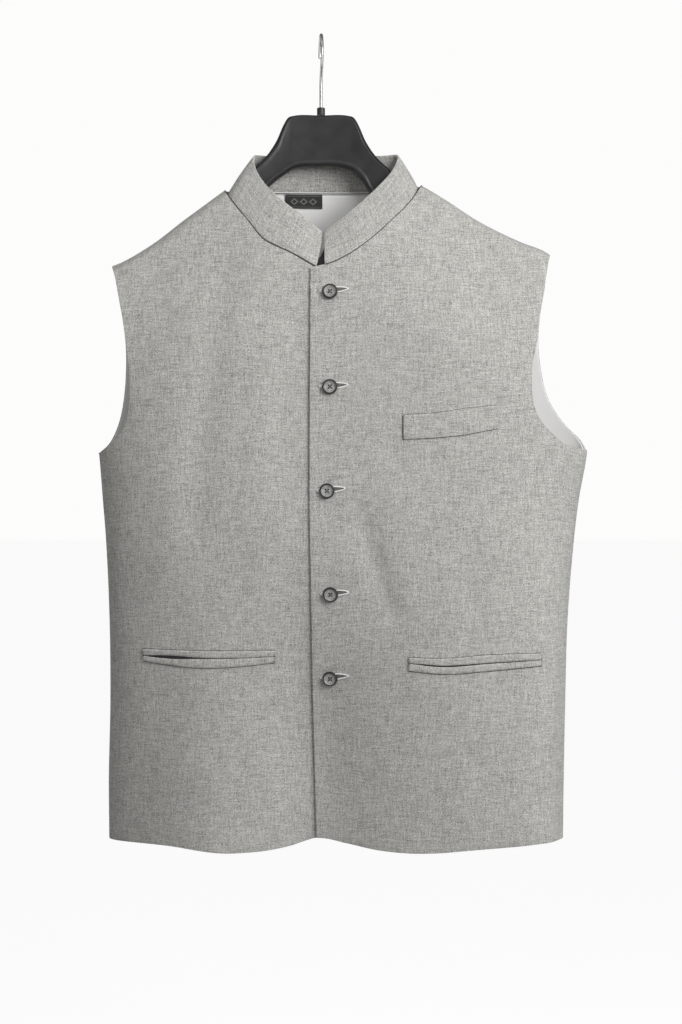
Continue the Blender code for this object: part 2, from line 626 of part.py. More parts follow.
def make_hook():
    """Round steel wire along the hook's route."""
    route = hook_route()
    curve = bpy.data.curves.new("hanger_hook", "CURVE")
    curve.dimensions = "3D"
    curve.bevel_depth = WIRE
    curve.bevel_resolution = 2
    curve.use_fill_caps = True
    line = curve.splines.new("POLY")
    line.points.add(len(route) - 1)
    for point, place in zip(line.points, route):
        point.co = (*place, 1.0)
    piece = bpy.data.objects.new("hanger_hook", curve)
    JACKET.objects.link(piece)
    curve.materials.append(finish("hanger_hook", STEEL, 0.25, 1.0))
    piece.rotation_euler.z = math.radians(HOOK_YAW)
    return piece


def make_label(back):
    """A plain woven tab on the lining, below the back neck seam."""
    x, z = np.meshgrid(np.linspace(*LABEL_X, 5), np.linspace(*LABEL_Z, 3))
    grid = stack(np.stack([x, z], -1), back_y(x, z))
    inside = -(WALL + LINING_GAP + LINING_WALL + LINING_GAP)
    grid = grid + np.array([0.0, 1.0, 0.0]) * inside * LABEL_OFF
    return cloth("neck_label", grid, LABEL_WALL, -1.0, flip=True, colour=BLACK)


for old in list(bpy.data.objects):
    bpy.data.objects.remove(old, do_unlink=True)
JACKET = bpy.data.collections.new("nehru_jacket")
CUTTERS = bpy.data.collections.new("cutters")
for group in (JACKET, CUTTERS):
    bpy.context.scene.collection.children.link(group)

# The right front's and the left front's columns run opposite ways, so one is flipped
cloth("front_left", front_panel("left"), WALL)
cloth("front_right", front_panel("right"), WALL, flip=True)
BACK = back_panel()
cloth("back", BACK, WALL, flip=True)
cloth("back_lining", lining_panel(BACK), LINING_WALL, flip=True, colour=SATIN, roughness=0.5)
make_collar()
make_strip("breast_welt", BREAST, "top", "foot")
for where, table in (("right", WAIST_RIGHT), ("left", WAIST_LEFT)):
    make_strip("waist_jet_upper_" + where, table, "top", "slit", shift_lower=SLIT / 2.0)
    make_strip("waist_jet_lower_" + where, table, "slit", "foot", shift_upper=-SLIT / 2.0)
pins = hole_cutter()
for number, (x, z) in enumerate(zip(BUTTONS["x"], BUTTONS["z"]), 1):
    make_button("button_" + str(number), x, z, pins)
make_label(BACK)
make_hanger()
make_ferrule()
make_hook()
for cutter in CUTTERS.objects:
    cutter.hide_render = True
    cutter.display_type = "WIRE"
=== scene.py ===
"""The looks of a sleeveless Nehru jacket, buttoned up, on a moulded coat hanger.

Metres, +Z up. The front faces -Y and the wearer's left is +X. The cloth is laid on the same
hollow form as the solids, on finer grids, with its creases, seams, buttonholes and stitches.
"""
import math

import bpy
import numpy as np
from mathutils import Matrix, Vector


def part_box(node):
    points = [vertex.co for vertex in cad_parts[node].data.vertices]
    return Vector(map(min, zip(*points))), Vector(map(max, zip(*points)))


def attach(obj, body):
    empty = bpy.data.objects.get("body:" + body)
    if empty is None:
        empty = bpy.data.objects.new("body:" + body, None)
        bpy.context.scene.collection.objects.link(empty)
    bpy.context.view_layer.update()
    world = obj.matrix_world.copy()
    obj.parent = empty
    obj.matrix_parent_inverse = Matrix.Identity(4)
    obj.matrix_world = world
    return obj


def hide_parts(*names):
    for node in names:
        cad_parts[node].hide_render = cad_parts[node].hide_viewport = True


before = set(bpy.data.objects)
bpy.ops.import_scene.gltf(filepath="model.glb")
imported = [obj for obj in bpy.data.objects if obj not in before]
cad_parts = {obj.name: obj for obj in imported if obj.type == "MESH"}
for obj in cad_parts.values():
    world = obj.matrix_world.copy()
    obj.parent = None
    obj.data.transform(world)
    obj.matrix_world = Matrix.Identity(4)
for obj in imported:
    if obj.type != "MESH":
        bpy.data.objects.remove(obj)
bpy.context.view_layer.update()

# Cloth
WALL = 0.0020
LINING_WALL = 0.0010
COLLAR_WALL = 0.0024
WELT_WALL = 0.0014
LABEL_WALL = 0.0005
GAP = 0.0003
RIM = 0.0005
UNDER_SHORT = 0.0004
LINING_GAP = 0.0007
LAP_IN = 0.0032
LAP_FADE = (-0.060, -0.020)
SEAM_OFF = GAP / 2.0 + RIM

# Hollow form: a ridge over the shoulders, and a front and a back swelling from it
SWEEP = 0.018
SWEEP_REACH = 0.230
FOLD_EDGE = 0.07
TWIST = {"slope": 0.150, "x": 0.0155, "from": 0.42, "to": 0.90}
SHOULDER_DROP = 0.014
CHEST_DROP = 0.170
ARM_FADE = (0.04, 0.16)
SHOULDER = {
    "x": (-0.2165, -0.2045, -0.1715, -0.1440, -0.1160, -0.1006, -0.0450, 0.0040,
          0.0520, 0.1055, 0.1295, 0.1630, 0.2060, 0.2310, 0.2375),
    "z": (-0.2430, -0.2379, -0.2173, -0.1954, -0.1741, -0.1626, -0.1280, -0.1120,
          -0.1260, -0.1575, -0.1725, -0.1951, -0.2172, -0.2270, -0.2310),
}
OUTLINE = {
    "z": (-0.8390, -0.7800, -0.6960, -0.6120, -0.5280, -0.4860, -0.4350, -0.3400, -0.2400, -0.1200),
    "right": (-0.2240, -0.2240, -0.2214, -0.2212, -0.2240, -0.2270, -0.2310, -0.2420, -0.2460, -0.2460),
    "left": (0.2484, 0.2495, 0.2520, 0.2553, 0.2628, 0.2682, 0.2772, 0.2790, 0.2760, 0.2740),
    "front": (0.064, 0.064, 0.066, 0.070, 0.073, 0.073, 0.072, 0.070, 0.064, 0.060),
    "back": (0.040, 0.040, 0.041, 0.043, 0.045, 0.046, 0.047, 0.046, 0.042, 0.036),
    "square": (2.0, 2.0, 2.1, 2.2, 2.3, 2.3, 2.4, 2.4, 2.4, 2.4),
}
SHOULDER_HALF = {"x": (0.0, 0.09, 0.15, 0.22, 0.24), "half": (0.013, 0.013, 0.016, 0.021, 0.021)}

# Folds and creases: x and z of the top, x and z of the foot, bow of the line between them, half width,
# how far out (+) or in (-), and the length over which each end fades
FRONT_FOLDS = (
    (-0.006, -0.520, -0.010, -1.020, 0.0, 0.042, -0.0080, 0.260),
    (0.000, -0.520, 0.008, -1.020, 0.0, 0.080, -0.0170, 0.240),
    (-0.115, -0.540, -0.120, -1.020, 0.0, 0.048, 0.0100, 0.260),
    (0.240, -0.460, 0.244, -1.020, 0.0, 0.050, 0.0080, 0.240),
    (0.030, -0.470, 0.076, -0.620, 0.0, 0.013, -0.0035, 0.050),
    (-0.092, -0.200, -0.134, -0.540, 0.0, 0.018, -0.0040, 0.080),
)
FRONT_CREASES = (
    (0.102, -0.533, 0.143, -0.560, -0.004, 0.0060, -0.0007, 0.020),
    (0.025, -0.680, 0.092, -0.675, 0.002, 0.0045, -0.0005, 0.030),
    (-0.0115, -0.2670, 0.024, -0.2560, 0.001, 0.0050, -0.0020, 0.006),
    (0.060, -0.430, 0.110, -0.436, 0.003, 0.0060, -0.0004, 0.020),
    (-0.058, -0.300, -0.062, -0.620, 0.004, 0.0120, 0.0006, 0.120),
    (-0.150, -0.300, -0.165, -0.620, -0.004, 0.0140, 0.0006, 0.100),
    (0.150, -0.460, 0.160, -0.640, 0.006, 0.0120, -0.0005, 0.080),
    (0.200, -0.480, 0.196, -0.820, -0.006, 0.0140, 0.0006, 0.120),
)
BACK_CREASES = (
    (-0.060, -0.420, -0.075, -0.860, 0.010, 0.030, 0.0030, 0.160),
    (0.085, -0.380, 0.100, -0.860, -0.008, 0.034, 0.0034, 0.180),
    (0.010, -0.300, 0.020, -0.860, 0.006, 0.026, -0.0028, 0.200),
    (-0.150, -0.440, -0.145, -0.820, 0.008, 0.018, -0.0014, 0.120),
    (0.185, -0.430, 0.175, -0.780, -0.006, 0.016, -0.0012, 0.110),
    (-0.170, -0.300, -0.060, -0.250, -0.010, 0.012, -0.0010, 0.050),
    (0.060, -0.250, 0.180, -0.290, -0.010, 0.012, -0.0010, 0.050),
)
RIPPLES = {  # slow unevenness of pressed cloth: waves per metre across and down, turn, height
    "across": (9.0, -6.0, 17.0, 5.0, 26.0, -21.0),
    "down": (3.0, 5.0, -4.0, 11.0, 7.0, 13.0),
    "turn": (0.4, 2.1, 4.4, 1.3, 5.2, 3.0),
    "height": (0.00035, 0.00030, 0.00016, 0.00018, 0.00007, 0.00007),
}

# Edges of the panels in the front view
HEM = {
    "x": (-0.2240, -0.1573, -0.0936, -0.0320, -0.0007, 0.0257, 0.0596, 0.1010, 0.1672, 0.2484),
    "front": (-0.8424, -0.8428, -0.8487, -0.8437, -0.8350, -0.8388, -0.8439, -0.8450, -0.8389, -0.8316),
    "back": (-0.8424, -0.8416, -0.8408, -0.8402, -0.8399, -0.8396, -0.8389, -0.8376, -0.8350, -0.8316),
}
ARMHOLE = {
    "share": (0.0, 0.02, 0.06, 0.13, 0.21, 0.30, 0.42, 0.56, 0.70, 0.85, 0.95, 1.0),
    "front_right": (-0.2310, -0.2250, -0.2137, -0.2020, -0.1971, -0.1947,
                    -0.1953, -0.1987, -0.2024, -0.2082, -0.2125, -0.2165),
    "back_right": (-0.2310, -0.2280, -0.2215, -0.2148, -0.2102, -0.2074,
                   -0.2055, -0.2053, -0.2077, -0.2127, -0.2150, -0.2165),
    "front_left": (0.2772, 0.2555, 0.2420, 0.2270, 0.2182, 0.2152,
                   0.2158, 0.2215, 0.2250, 0.2308, 0.2345, 0.2375),
    "back_left": (0.2772, 0.2755, 0.2710, 0.2575, 0.2458, 0.2370,
                  0.2317, 0.2288, 0.2305, 0.2352, 0.2368, 0.2375),
}
UNDERARM = {"right": -0.4385, "left": -0.4350}
TIP = {"right": -0.2430, "left": -0.2310}
NECK_POINT = {"right": -0.1006, "left": 0.1055}
TIP_X = {"right": -0.2165, "left": 0.2375}
NECK_RIGHT = {"x": (-0.0045, -0.0297, -0.0574, -0.0675, -0.0762, -0.0900, -0.1006),
              "z": (-0.2478, -0.2328, -0.2192, -0.2075, -0.1955, -0.1785, -0.1626)}
NECK_LEFT = {"x": (0.0047, 0.0142, 0.0322, 0.0544, 0.0729, 0.0940, 0.1055),
             "z": (-0.2461, -0.2430, -0.2330, -0.2158, -0.1981, -0.1755, -0.1575)}
NECK_BACK = {"x": (-0.1006, -0.0541, 0.0040, 0.0538, 0.1055),
             "z": (-0.1626, -0.1603, -0.1595, -0.1600, -0.1575)}
UNDER_LAP = {"x": (0.0300, 0.0120, -0.0045), "z": (-0.2540, -0.2510, -0.2478)}
OVER_LAP = {"x": (-0.0096, 0.0047), "z": (-0.2492, -0.2461)}
OVER_EDGE = {"z": (-0.8350, -0.6900, -0.5880, -0.4860, -0.2492),
             "x": (-0.0040, -0.0075, -0.0090, -0.0105, -0.0096)}
UNDER_EDGE_X = 0.0300

# Collar: its top edge above the neckline, counted in the steps of the solid's band
COLLAR = {
    "step": (0, 2, 3, 4, 5, 6, 7, 8, 9, 10, 11, 12, 13, 14, 15, 17, 19),
    "x": (0.0024, -0.0264, -0.0414, -0.0552, -0.0675, -0.0714, -0.0655, -0.0460, -0.0130,
          0.0205, 0.0540, 0.0755, 0.0822, 0.0755, 0.0618, 0.0347, 0.0046),
    "y": (-0.0385, -0.0415, -0.0385, -0.0300, -0.0190, -0.0032, 0.0040, 0.0090, 0.0122,
          0.0122, 0.0092, 0.0050, -0.0006, -0.0175, -0.0262, -0.0406, -0.0415),
    "z": (-0.2112, -0.1883, -0.1765, -0.1624, -0.1445, -0.1247, -0.1245, -0.1242, -0.1238,
          -0.1238, -0.1240, -0.1238, -0.1233, -0.1433, -0.1595, -0.1864, -0.2098),
}
COLLAR_BACK_SHARES = (0.0, 0.06, 0.2, 0.4, 0.6, 0.8, 0.94, 1.0)
COLLAR_FRONT_STEPS = 6
COLLAR_LIFT = 0.0007
COLLAR_CROWN = 0.0008
GAP_ROWS = 12
GAP_PAST = 0.3

# Pockets: top, slit and foot along the mouth, and how far the two lips stand apart
BREAST = {"x": (0.0848, 0.1182, 0.1464, 0.1790),
          "top": (-0.4008, -0.3987, -0.3945, -0.3909),
          "foot": (-0.4248, -0.4231, -0.4202, -0.4140)}
WAIST = {
    "right": {"x": (-0.1822, -0.1339, -0.0930, -0.0465),
              "top": (-0.6395, -0.6405, -0.6405, -0.6404),
              "slit": (-0.6464, -0.6480, -0.6483, -0.6466),
              "foot": (-0.6519, -0.6576, -0.6573, -0.6527)},
    "left": {"x": (0.0901, 0.1250, 0.1701, 0.2245),
             "top": (-0.6467, -0.6473, -0.6437, -0.6423),
             "slit": (-0.6525, -0.6551, -0.6520, -0.6489),
             "foot": (-0.6600, -0.6628, -0.6596, -0.6547)},
}
MOUTH = {
    "right": {"x": (-0.1822, -0.1650, -0.1480, -0.1250, -0.0930, -0.0465),
              "gap": (0.0008, 0.0030, 0.0036, 0.0018, 0.0010, 0.0006)},
    "left": {"x": (0.0901, 0.1080, 0.1300, 0.1701, 0.2000, 0.2245),
             "gap": (0.0006, 0.0016, 0.0018, 0.0014, 0.0012, 0.0006)},
}
JET_OUT = 0.0013
JET_CROWN = 0.0007
JET_COLUMNS = 90
WELT_OUT = 0.0018
WELT_CROWN = 0.0005
WELT_COLUMNS = 70
WELT_END_THICK = 0.0009
WELT_STITCHES = 16
WELT_STITCH = (0.0011, 0.0003)

# Buttons, buttonholes and thread
BUTTON_RADIUS = 0.0078
BUTTON_PROFILE = {  # share of the radius, height
    "share": (0.0, 0.30, 0.55, 0.68, 0.76, 0.86, 0.95, 1.0),
    "high": (0.0015, 0.0015, 0.0017, 0.0022, 0.0029, 0.0032, 0.0027, 0.0014),
}
BUTTON_UNDER = {"share": (1.0, 0.98, 0.90, 0.75, 0.4), "high": (0.0010, 0.0006, 0.0002, 0.0, 0.0)}
BUTTON_SIDES = 96
BUTTON_OFF = 0.0014
HOLE_OUT = 0.0019
HOLE_RADIUS = 0.00085
HOLE_DEEP = 0.0011
THREAD_RADIUS = 0.000168
THREAD_APART = 0.00016
SHANK_RADIUS = 0.0011
BUTTONHOLE = {"reach": (-0.0105, 0.0188), "half": 0.0027, "round": 0.62, "whips": 150, "long": 0.0017,
              "thick": 0.00042, "core": 0.00026, "off": 0.00065, "slit": 0.55}
HOLE_RISE = 0.0006
HOLE_TILT = (0.0026, 0.0016, 0.0020, 0.0018, 0.0024)
MOUTH_TUCK = 0.0006
MOUTH_OUT = 0.0005
MOUTH_WALL = 0.0003
SEAM_RISE = 0.0003
SEAM_BESIDE = 0.0003
SEAM_THIN = 0.00048
SEAM_STEPS = 60
NECK_SEAM_DROP = 0.0022
FOOT_STITCHES = 34
END_STITCHES = 7
JET_STITCH = (0.0013, 0.00035)
STITCH_START = 0.004
STITCH_IN = 0.0006
STITCH_RISE = 0.0002
JET_SHIFT = 0.0173
WELT_SHIFT = 0.0131
COLLAR_SHIFT = 0.400

# Label inside the back neck
LABEL_X = (-0.0375, 0.0010)
LABEL_Z = (-0.1770, -0.1632)
LABEL_OFF = 1.22

# Hanger
HANGER_TOP = {"x": (0.0, 0.0290, 0.0350, 0.0400, 0.0460, 0.0535, 0.0600, 0.0720, 0.0820, 0.0940),
              "z": (-0.0823, -0.0830, -0.0855, -0.0940, -0.1080, -0.1205, -0.1285, -0.1402, -0.1540, -0.1685)}
HANGER_FOOT = {"x": (-0.215, -0.150, -0.100, -0.075, -0.054, -0.041, -0.027, -0.004,
                     0.022, 0.035, 0.043, 0.052, 0.075, 0.100, 0.150, 0.215),
               "z": (-0.272, -0.236, -0.206, -0.186, -0.158, -0.147, -0.1385, -0.1365,
                     -0.1375, -0.143, -0.152, -0.166, -0.186, -0.201, -0.226, -0.254)}
HANGER_REACH = 0.205
HANGER_UNDER = 0.0065
HANGER_IN = 0.0055
HANGER_NECK_HALF = 0.0070
HANGER_END = 0.012
HANGER_SECTION = {  # depth in from the edge, share of the half thickness
    "deep": (0.0, 0.0004, 0.0012, 0.0024, 0.0036, 0.0044, 0.0056, 0.0068),
    "share": (0.0, 0.34, 0.66, 0.90, 1.00, 1.00, 0.88, 0.86),
}
WIRE = 0.0016
HOOK_RADIUS = 0.0200
HOOK_TURN = 232.0
HOOK_SHANK = -0.0520
HOOK_YAW = 4.0
HOOK_FOOT = -0.0797

# How finely each edge is cut
LAP_STEPS = 8
NECK_STEPS = 40
SHOULDER_STEPS = 52
SIDE_STEPS = 96
ARM_STEPS = 80
BACK_NECK_STEPS = 60
COLLAR_ROWS = 16
LINING_ROWS = (2, 6)
LINING_COLUMNS = 3
LATE = 3.0

# Weave: pitch of the threads, and how far along a thread its shade drifts
THREAD_PITCH = 0.00056
THREAD_DRIFT = 0.0130
THREAD_CONTRAST = 0.60
FLECK_LONG = 0.0011
FLECK_CONTRAST = 0.95
SLUB_PITCH = 0.0009
SLUB_DRIFT = 0.0140
SLUB_LIGHT = 0.04
SLUB_DARK = 0.05

# Studio
FLOOR_Z = -1.35
FLOOR_REACH = 60.0
FLOOR_TONE = 0.16
FLOOR_GLOW = 0.90
AMBIENT = 0.22
PAPER = 0.975
CAMERA_PLACE = (0.021, -2.2, -0.49875)
CAMERA_LENS = 73.66
LAMPS = (  # name, place, aim, width, watts
    ("key", (1.32, -1.58, 0.25), (0.02, 0.0, -0.42), 1.2, 38.0),
    ("fill", (-1.40, -1.90, 0.40), (0.02, 0.0, -0.45), 1.4, 5.0),
    ("top", (-0.10, -0.80, 1.20), (0.02, 0.0, -0.20), 0.9, 5.0),
)


def smooth(v, low, high):
    """0 below low, 1 above high, and a smooth S between them."""
    t = np.clip((v - low) / (high - low), 0.0, 1.0)
    return t * t * (3.0 - 2.0 * t)


def through(x, xs, ys):
    """Smooth curve through a table: cubic pieces whose slope at a row is the mean of its neighbours'."""
    xs = np.asarray(xs, float)
    ys = np.asarray(ys, float)
    step = np.diff(ys) / np.diff(xs)
    slope = np.concatenate([step[:1], (step[1:] + step[:-1]) / 2.0, step[-1:]])
    x = np.clip(x, xs[0], xs[-1])
    i = np.clip(np.searchsorted(xs, x, side="right") - 1, 0, len(xs) - 2)
    w = xs[i + 1] - xs[i]
    t = (x - xs[i]) / w
    start = (1.0 + 2.0 * t) * (1.0 - t) ** 2 * ys[i] + t * (1.0 - t) ** 2 * w * slope[i]
    return start + t * t * (3.0 - 2.0 * t) * ys[i + 1] + t * t * (t - 1.0) * w * slope[i + 1]


def at(table, column, x, key="x"):
    return through(x, table[key], table[column])


def ridge(x, z=0.0):
    """The seams' plane, swept forward towards the shoulder tips, and turned a little as it hangs down."""
    turn = TWIST["slope"] * smooth(-z, TWIST["from"], TWIST["to"])
    return -SWEEP * smooth(np.abs(x), 0.0, SWEEP_REACH) - turn * (x - TWIST["x"])


def shoulder(x):
    return at(SHOULDER, "z", x)


def share_out(x, z):
    """0 on the middle of the plan at a height, 1 at the side seams."""
    right = at(OUTLINE, "right", z, "z")
    left = at(OUTLINE, "left", z, "z")
    return np.clip(np.abs(x - (left + right) / 2.0) / ((left - right) / 2.0), 0.0, 1.0)


def swell(x, z, side):
    """How far the cloth stands off the ridge: a round roll over the shoulder, then the chest.

    Both are rounded in plan by (1 - share^square)^1/2, which is 0 at the side seams.
    """
    drop = np.maximum(shoulder(x) - z, 0.0)
    plan = np.sqrt(1.0 - share_out(x, z) ** at(OUTLINE, "square", z, "z"))
    half = at(SHOULDER_HALF, "half", np.abs(x))
    roll = np.sqrt(1.0 - (1.0 - np.minimum(drop / SHOULDER_DROP, 1.0)) ** 2)
    chest = np.sin(math.pi / 2.0 * np.minimum(drop / CHEST_DROP, 1.0))
    full = at(OUTLINE, side, z, "z")
    over = (half - SEAM_OFF) * roll * plan ** smooth(drop, *ARM_FADE)
    return SEAM_OFF + over + plan * (full - half) * chest


def pressed(x, z, rows, edge):
    """Sum of folds: a bell across each bowed line, faded in from its top and out at its foot."""
    out = np.zeros_like(x)
    for xt, zt, xf, zf, bow, width, far, fade in rows:
        along = np.hypot(xf - xt, zf - zt)
        ux, uz = (xf - xt) / along, (zf - zt) / along
        s = (x - xt) * ux + (z - zt) * uz
        t = np.clip(s / along, 0.0, 1.0)
        across = (x - xt) * uz - (z - zt) * ux - 4.0 * bow * t * (1.0 - t)
        ends = smooth(s, 0.0, fade) * (1.0 - smooth(s, along - fade / 2.0, along))
        out += far * np.exp(-(across / width) ** 2) * ends
    return out * smooth(1.0 - share_out(x, z), 0.0, edge)


def ripples(x, z):
    """Sum of low slanting sines, faded out at the side seams."""
    out = np.zeros_like(x)
    for across, down, turn, height in zip(*RIPPLES.values()):
        out += height * np.sin(2.0 * math.pi * (across * x + down * z) + turn)
    return out * smooth(1.0 - share_out(x, z), 0.0, 0.10) * smooth(shoulder(x) - z, 0.0, 0.05)


def button_pulls():
    """A short crease up and out, and one down and in, from each button."""
    rows = []
    for x, z in BUTTONS:
        rows.append((x + 0.007, z + 0.0075, x + 0.026, z + 0.0130, 0.001, 0.0030, -0.00055, 0.008))
        rows.append((x - 0.004, z - 0.0090, x - 0.016, z - 0.0150, 0.001, 0.0030, -0.00050, 0.008))
    return tuple(rows)


BUTTONS = []
for number in range(1, 6):
    low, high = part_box("button_" + str(number))
    BUTTONS.append(((low.x + high.x) / 2.0, (low.z + high.z) / 2.0))
FRONT_LINES = FRONT_CREASES + button_pulls()


def front_y(x, z):
    folds = pressed(x, z, FRONT_FOLDS, FOLD_EDGE) + pressed(x, z, FRONT_LINES, 0.05)
    return ridge(x, z) - swell(x, z, "front") - folds - ripples(x, z)


def back_y(x, z):
    return ridge(x, z) + swell(x, z, "back") + pressed(x, z, BACK_CREASES, 0.12) + ripples(-x, z)


def dense(table, count=800):
    """A table's x and z columns as a fine line, through its own points in order."""
    x = np.asarray(table["x"], float)
    z = np.asarray(table["z"], float)
    far = np.concatenate([[0.0], np.cumsum(np.hypot(np.diff(x), np.diff(z)))])
    t = np.linspace(0.0, far[-1], count)
    return np.stack([through(t, far, x), through(t, far, z)], 1)


def lengths(line):
    """Share of the length at each point of a line."""
    far = np.concatenate([[0.0], np.cumsum(np.linalg.norm(np.diff(line, axis=0), axis=1))])
    return far / far[-1]


def spaced(line, shares):
    """Points of a fine line at the given shares of its length."""
    far = lengths(line)
    return np.stack([np.interp(shares, far, line[:, k]) for k in range(line.shape[1])], 1)


def steps(count):
    return np.linspace(0.0, 1.0, count + 1)


def closing(count):
    """Shares that draw together towards the last one, as a sine."""
    return np.sin(math.pi / 2.0 * steps(count))


def easing(count):
    """Shares that draw together at both ends, as a half turn of a cosine."""
    return (1.0 - np.cos(math.pi * steps(count))) / 2.0


def joined(*edges):
    """Edges end to end, each one's first point given up to the one before."""
    return np.concatenate([edges[0]] + [edge[1:] for edge in edges[1:]])


def side_seam(side):
    """From hem to underarm."""
    foot = at(HEM, "front", at(OUTLINE, side, OUTLINE["z"][0], "z"))
    z = np.linspace(foot, UNDERARM[side], SIDE_STEPS + 1)
    return np.stack([at(OUTLINE, side, z, "z"), z], 1)


def armhole(face, side):
    """From underarm to the tip of the shoulder."""
    share = steps(800) ** 1.5
    z = UNDERARM[side] + share * (TIP[side] - UNDERARM[side])
    x = at(ARMHOLE, face + "_" + side, share, "share")
    return spaced(np.stack([x, z], 1), easing(ARM_STEPS))


def shoulder_seam(side):
    """From the neck out to the tip."""
    x = np.linspace(NECK_POINT[side], TIP_X[side], 800)
    return spaced(np.stack([x, shoulder(x)], 1), closing(SHOULDER_STEPS))


def patch(foot, top, first, last):
    """Coons patch: both pairs of edges blended across, less the corners counted twice.

    The top edge's shape comes in as v^LATE, so that rows stay level at the underarm.
    """
    u = ((lengths(foot) + lengths(top)) / 2.0)[None, :, None]
    w = lengths(last)[:, None, None] ** LATE
    across = (1.0 - w) * foot[None] + w * top[None]
    up = (1.0 - u) * first[:, None] + u * last[:, None]
    corners = ((1.0 - u) * (1.0 - w) * foot[0] + u * (1.0 - w) * foot[-1]
               + (1.0 - u) * w * top[0] + u * w * top[-1])
    return across + up - corners


def unit(v):
    return v / np.linalg.norm(v, axis=-1, keepdims=True)


def normals(grid):
    """Unit normals of a grid of points: the mean of the faces that meet at each."""
    face = unit(np.cross(grid[1:, 1:] - grid[:-1, :-1], grid[1:, :-1] - grid[:-1, 1:]) + 1e-15)
    face = np.pad(face, ((1, 1), (1, 1), (0, 0)))
    return unit(face[1:, 1:] + face[:-1, 1:] + face[1:, :-1] + face[:-1, :-1])


def stack(plan, y):
    return np.stack([plan[..., 0], y, plan[..., 1]], -1)


def front_panel(side):
    """One front: columns run from its front edge to its side, rows from hem to shoulder."""
    outer = joined(side_seam(side), armhole("front", side))
    lap, line = (OVER_LAP, NECK_LEFT) if side == "left" else (UNDER_LAP, NECK_RIGHT)
    lap_edge, neck = spaced(dense(lap), steps(LAP_STEPS)), spaced(dense(line), steps(NECK_STEPS))
    top = joined(lap_edge, neck, shoulder_seam(side))
    share = lengths(outer)
    if side == "left":
        z = OVER_EDGE["z"][0] + share * (top[0, 1] - OVER_EDGE["z"][0])
        inner = np.stack([at(OVER_EDGE, "x", z, "z"), z], 1)
    else:
        foot_z = at(HEM, "front", UNDER_EDGE_X) + UNDER_SHORT
        z = foot_z + share * (top[0, 1] - foot_z)
        inner = np.stack([np.full_like(z, UNDER_EDGE_X), z], 1)
    x = inner[0, 0] + (outer[0, 0] - inner[0, 0]) * closing(len(top) - 1)
    foot = np.stack([x, at(HEM, "front", x)], 1)
    foot[:, 1] += UNDER_SHORT * smooth(x, -0.060, -0.010) * (side == "right")
    foot[0] = inner[0]
    plan = patch(foot, top, inner, outer)
    if side == "left":
        return stack(plan, front_y(plan[..., 0], plan[..., 1]))
    lap = LAP_IN * smooth(plan[..., 0], *LAP_FADE)
    grid = on_front(plan[..., 0], plan[..., 1], -lap)[0]
    grid[lap == 0.0] = stack(plan, front_y(plan[..., 0], plan[..., 1]))[lap == 0.0]
    return grid


def back_panel():
    """The back: columns run from the right side to the left one, rows from hem to shoulders."""
    right = joined(side_seam("right"), armhole("back", "right"))
    left = joined(side_seam("left"), armhole("back", "left"))
    neck = spaced(dense(NECK_BACK), steps(BACK_NECK_STEPS))
    top = joined(shoulder_seam("right")[::-1], neck, shoulder_seam("left"))
    u = np.sin(math.pi / 2.0 * np.linspace(-1.0, 1.0, len(top)))
    x = (right[0, 0] + left[0, 0]) / 2.0 + (left[0, 0] - right[0, 0]) / 2.0 * u
    foot = np.stack([x, at(HEM, "back", x)], 1)
    plan = patch(foot, top, right, left)
    return stack(plan, back_y(plan[..., 0], plan[..., 1]))


def lining_panel(back):
    """The back's points inside its seams, moved in past its wall, and short of the hem."""
    grid = back + normals(back) * (WALL + LINING_GAP)
    return grid[LINING_ROWS[0]:-LINING_ROWS[1], LINING_COLUMNS:-LINING_COLUMNS]


def neckline():
    """The collar's seam: round the right front, the back and the left front, with its depth and step."""
    right = spaced(dense(NECK_RIGHT), steps(NECK_STEPS))
    back = spaced(dense(NECK_BACK), steps(BACK_NECK_STEPS))
    left = spaced(dense(NECK_LEFT), steps(NECK_STEPS))[::-1]
    x, z = joined(right, back, left).T
    last = NECK_STEPS + BACK_NECK_STEPS
    y = front_y(x, z)
    y[:NECK_STEPS] += LAP_IN * smooth(x[:NECK_STEPS], *LAP_FADE)
    y[NECK_STEPS:last] = back_y(x, z)[NECK_STEPS:last]
    y[[NECK_STEPS, last]] = ridge(x[[NECK_STEPS, last]])
    far = COLLAR_FRONT_STEPS + len(COLLAR_BACK_SHARES) - 1
    round_back = np.interp(steps(BACK_NECK_STEPS), COLLAR_BACK_SHARES, np.arange(COLLAR_FRONT_STEPS, far + 1))
    along_front = COLLAR_FRONT_STEPS * steps(NECK_STEPS)
    count = joined(along_front, round_back, far + along_front)
    return np.stack([x, y, z], 1), count


def even_out(line, rounds):
    """A line smoothed along its length, its ends held."""
    line = line.copy()
    for _ in range(rounds):
        line[1:-1] += (line[:-2] + line[2:] - 2.0 * line[1:-1]) / 4.0
    return line


def collar_panel():
    """A band ruled from the neckline up to its own top edge, crowned a little between the two."""
    foot, count = neckline()
    foot = even_out(foot, 12)
    top = even_out(np.stack([at(COLLAR, axis, count, "step") for axis in "xyz"], 1), 12)
    low = foot + unit(top - foot) * COLLAR_LIFT
    t = steps(COLLAR_ROWS)[:, None, None]
    grid = low + (top - low) * t
    return grid - normals(grid) * COLLAR_CROWN * (1.0 - (2.0 * t - 1.0) ** 2)


def on_front(x, z, out):
    """Points of the front at x and z moved out along its normal, and the normals."""
    step = 1e-4
    dx = (front_y(x + step, z) - front_y(x - step, z)) / (2.0 * step)
    dz = (front_y(x, z + step) - front_y(x, z - step)) / (2.0 * step)
    n = unit(np.stack([dx, -np.ones_like(x), dz], -1))
    return np.stack([x, front_y(x, z), z], -1) + n * np.asarray(out)[..., None], n


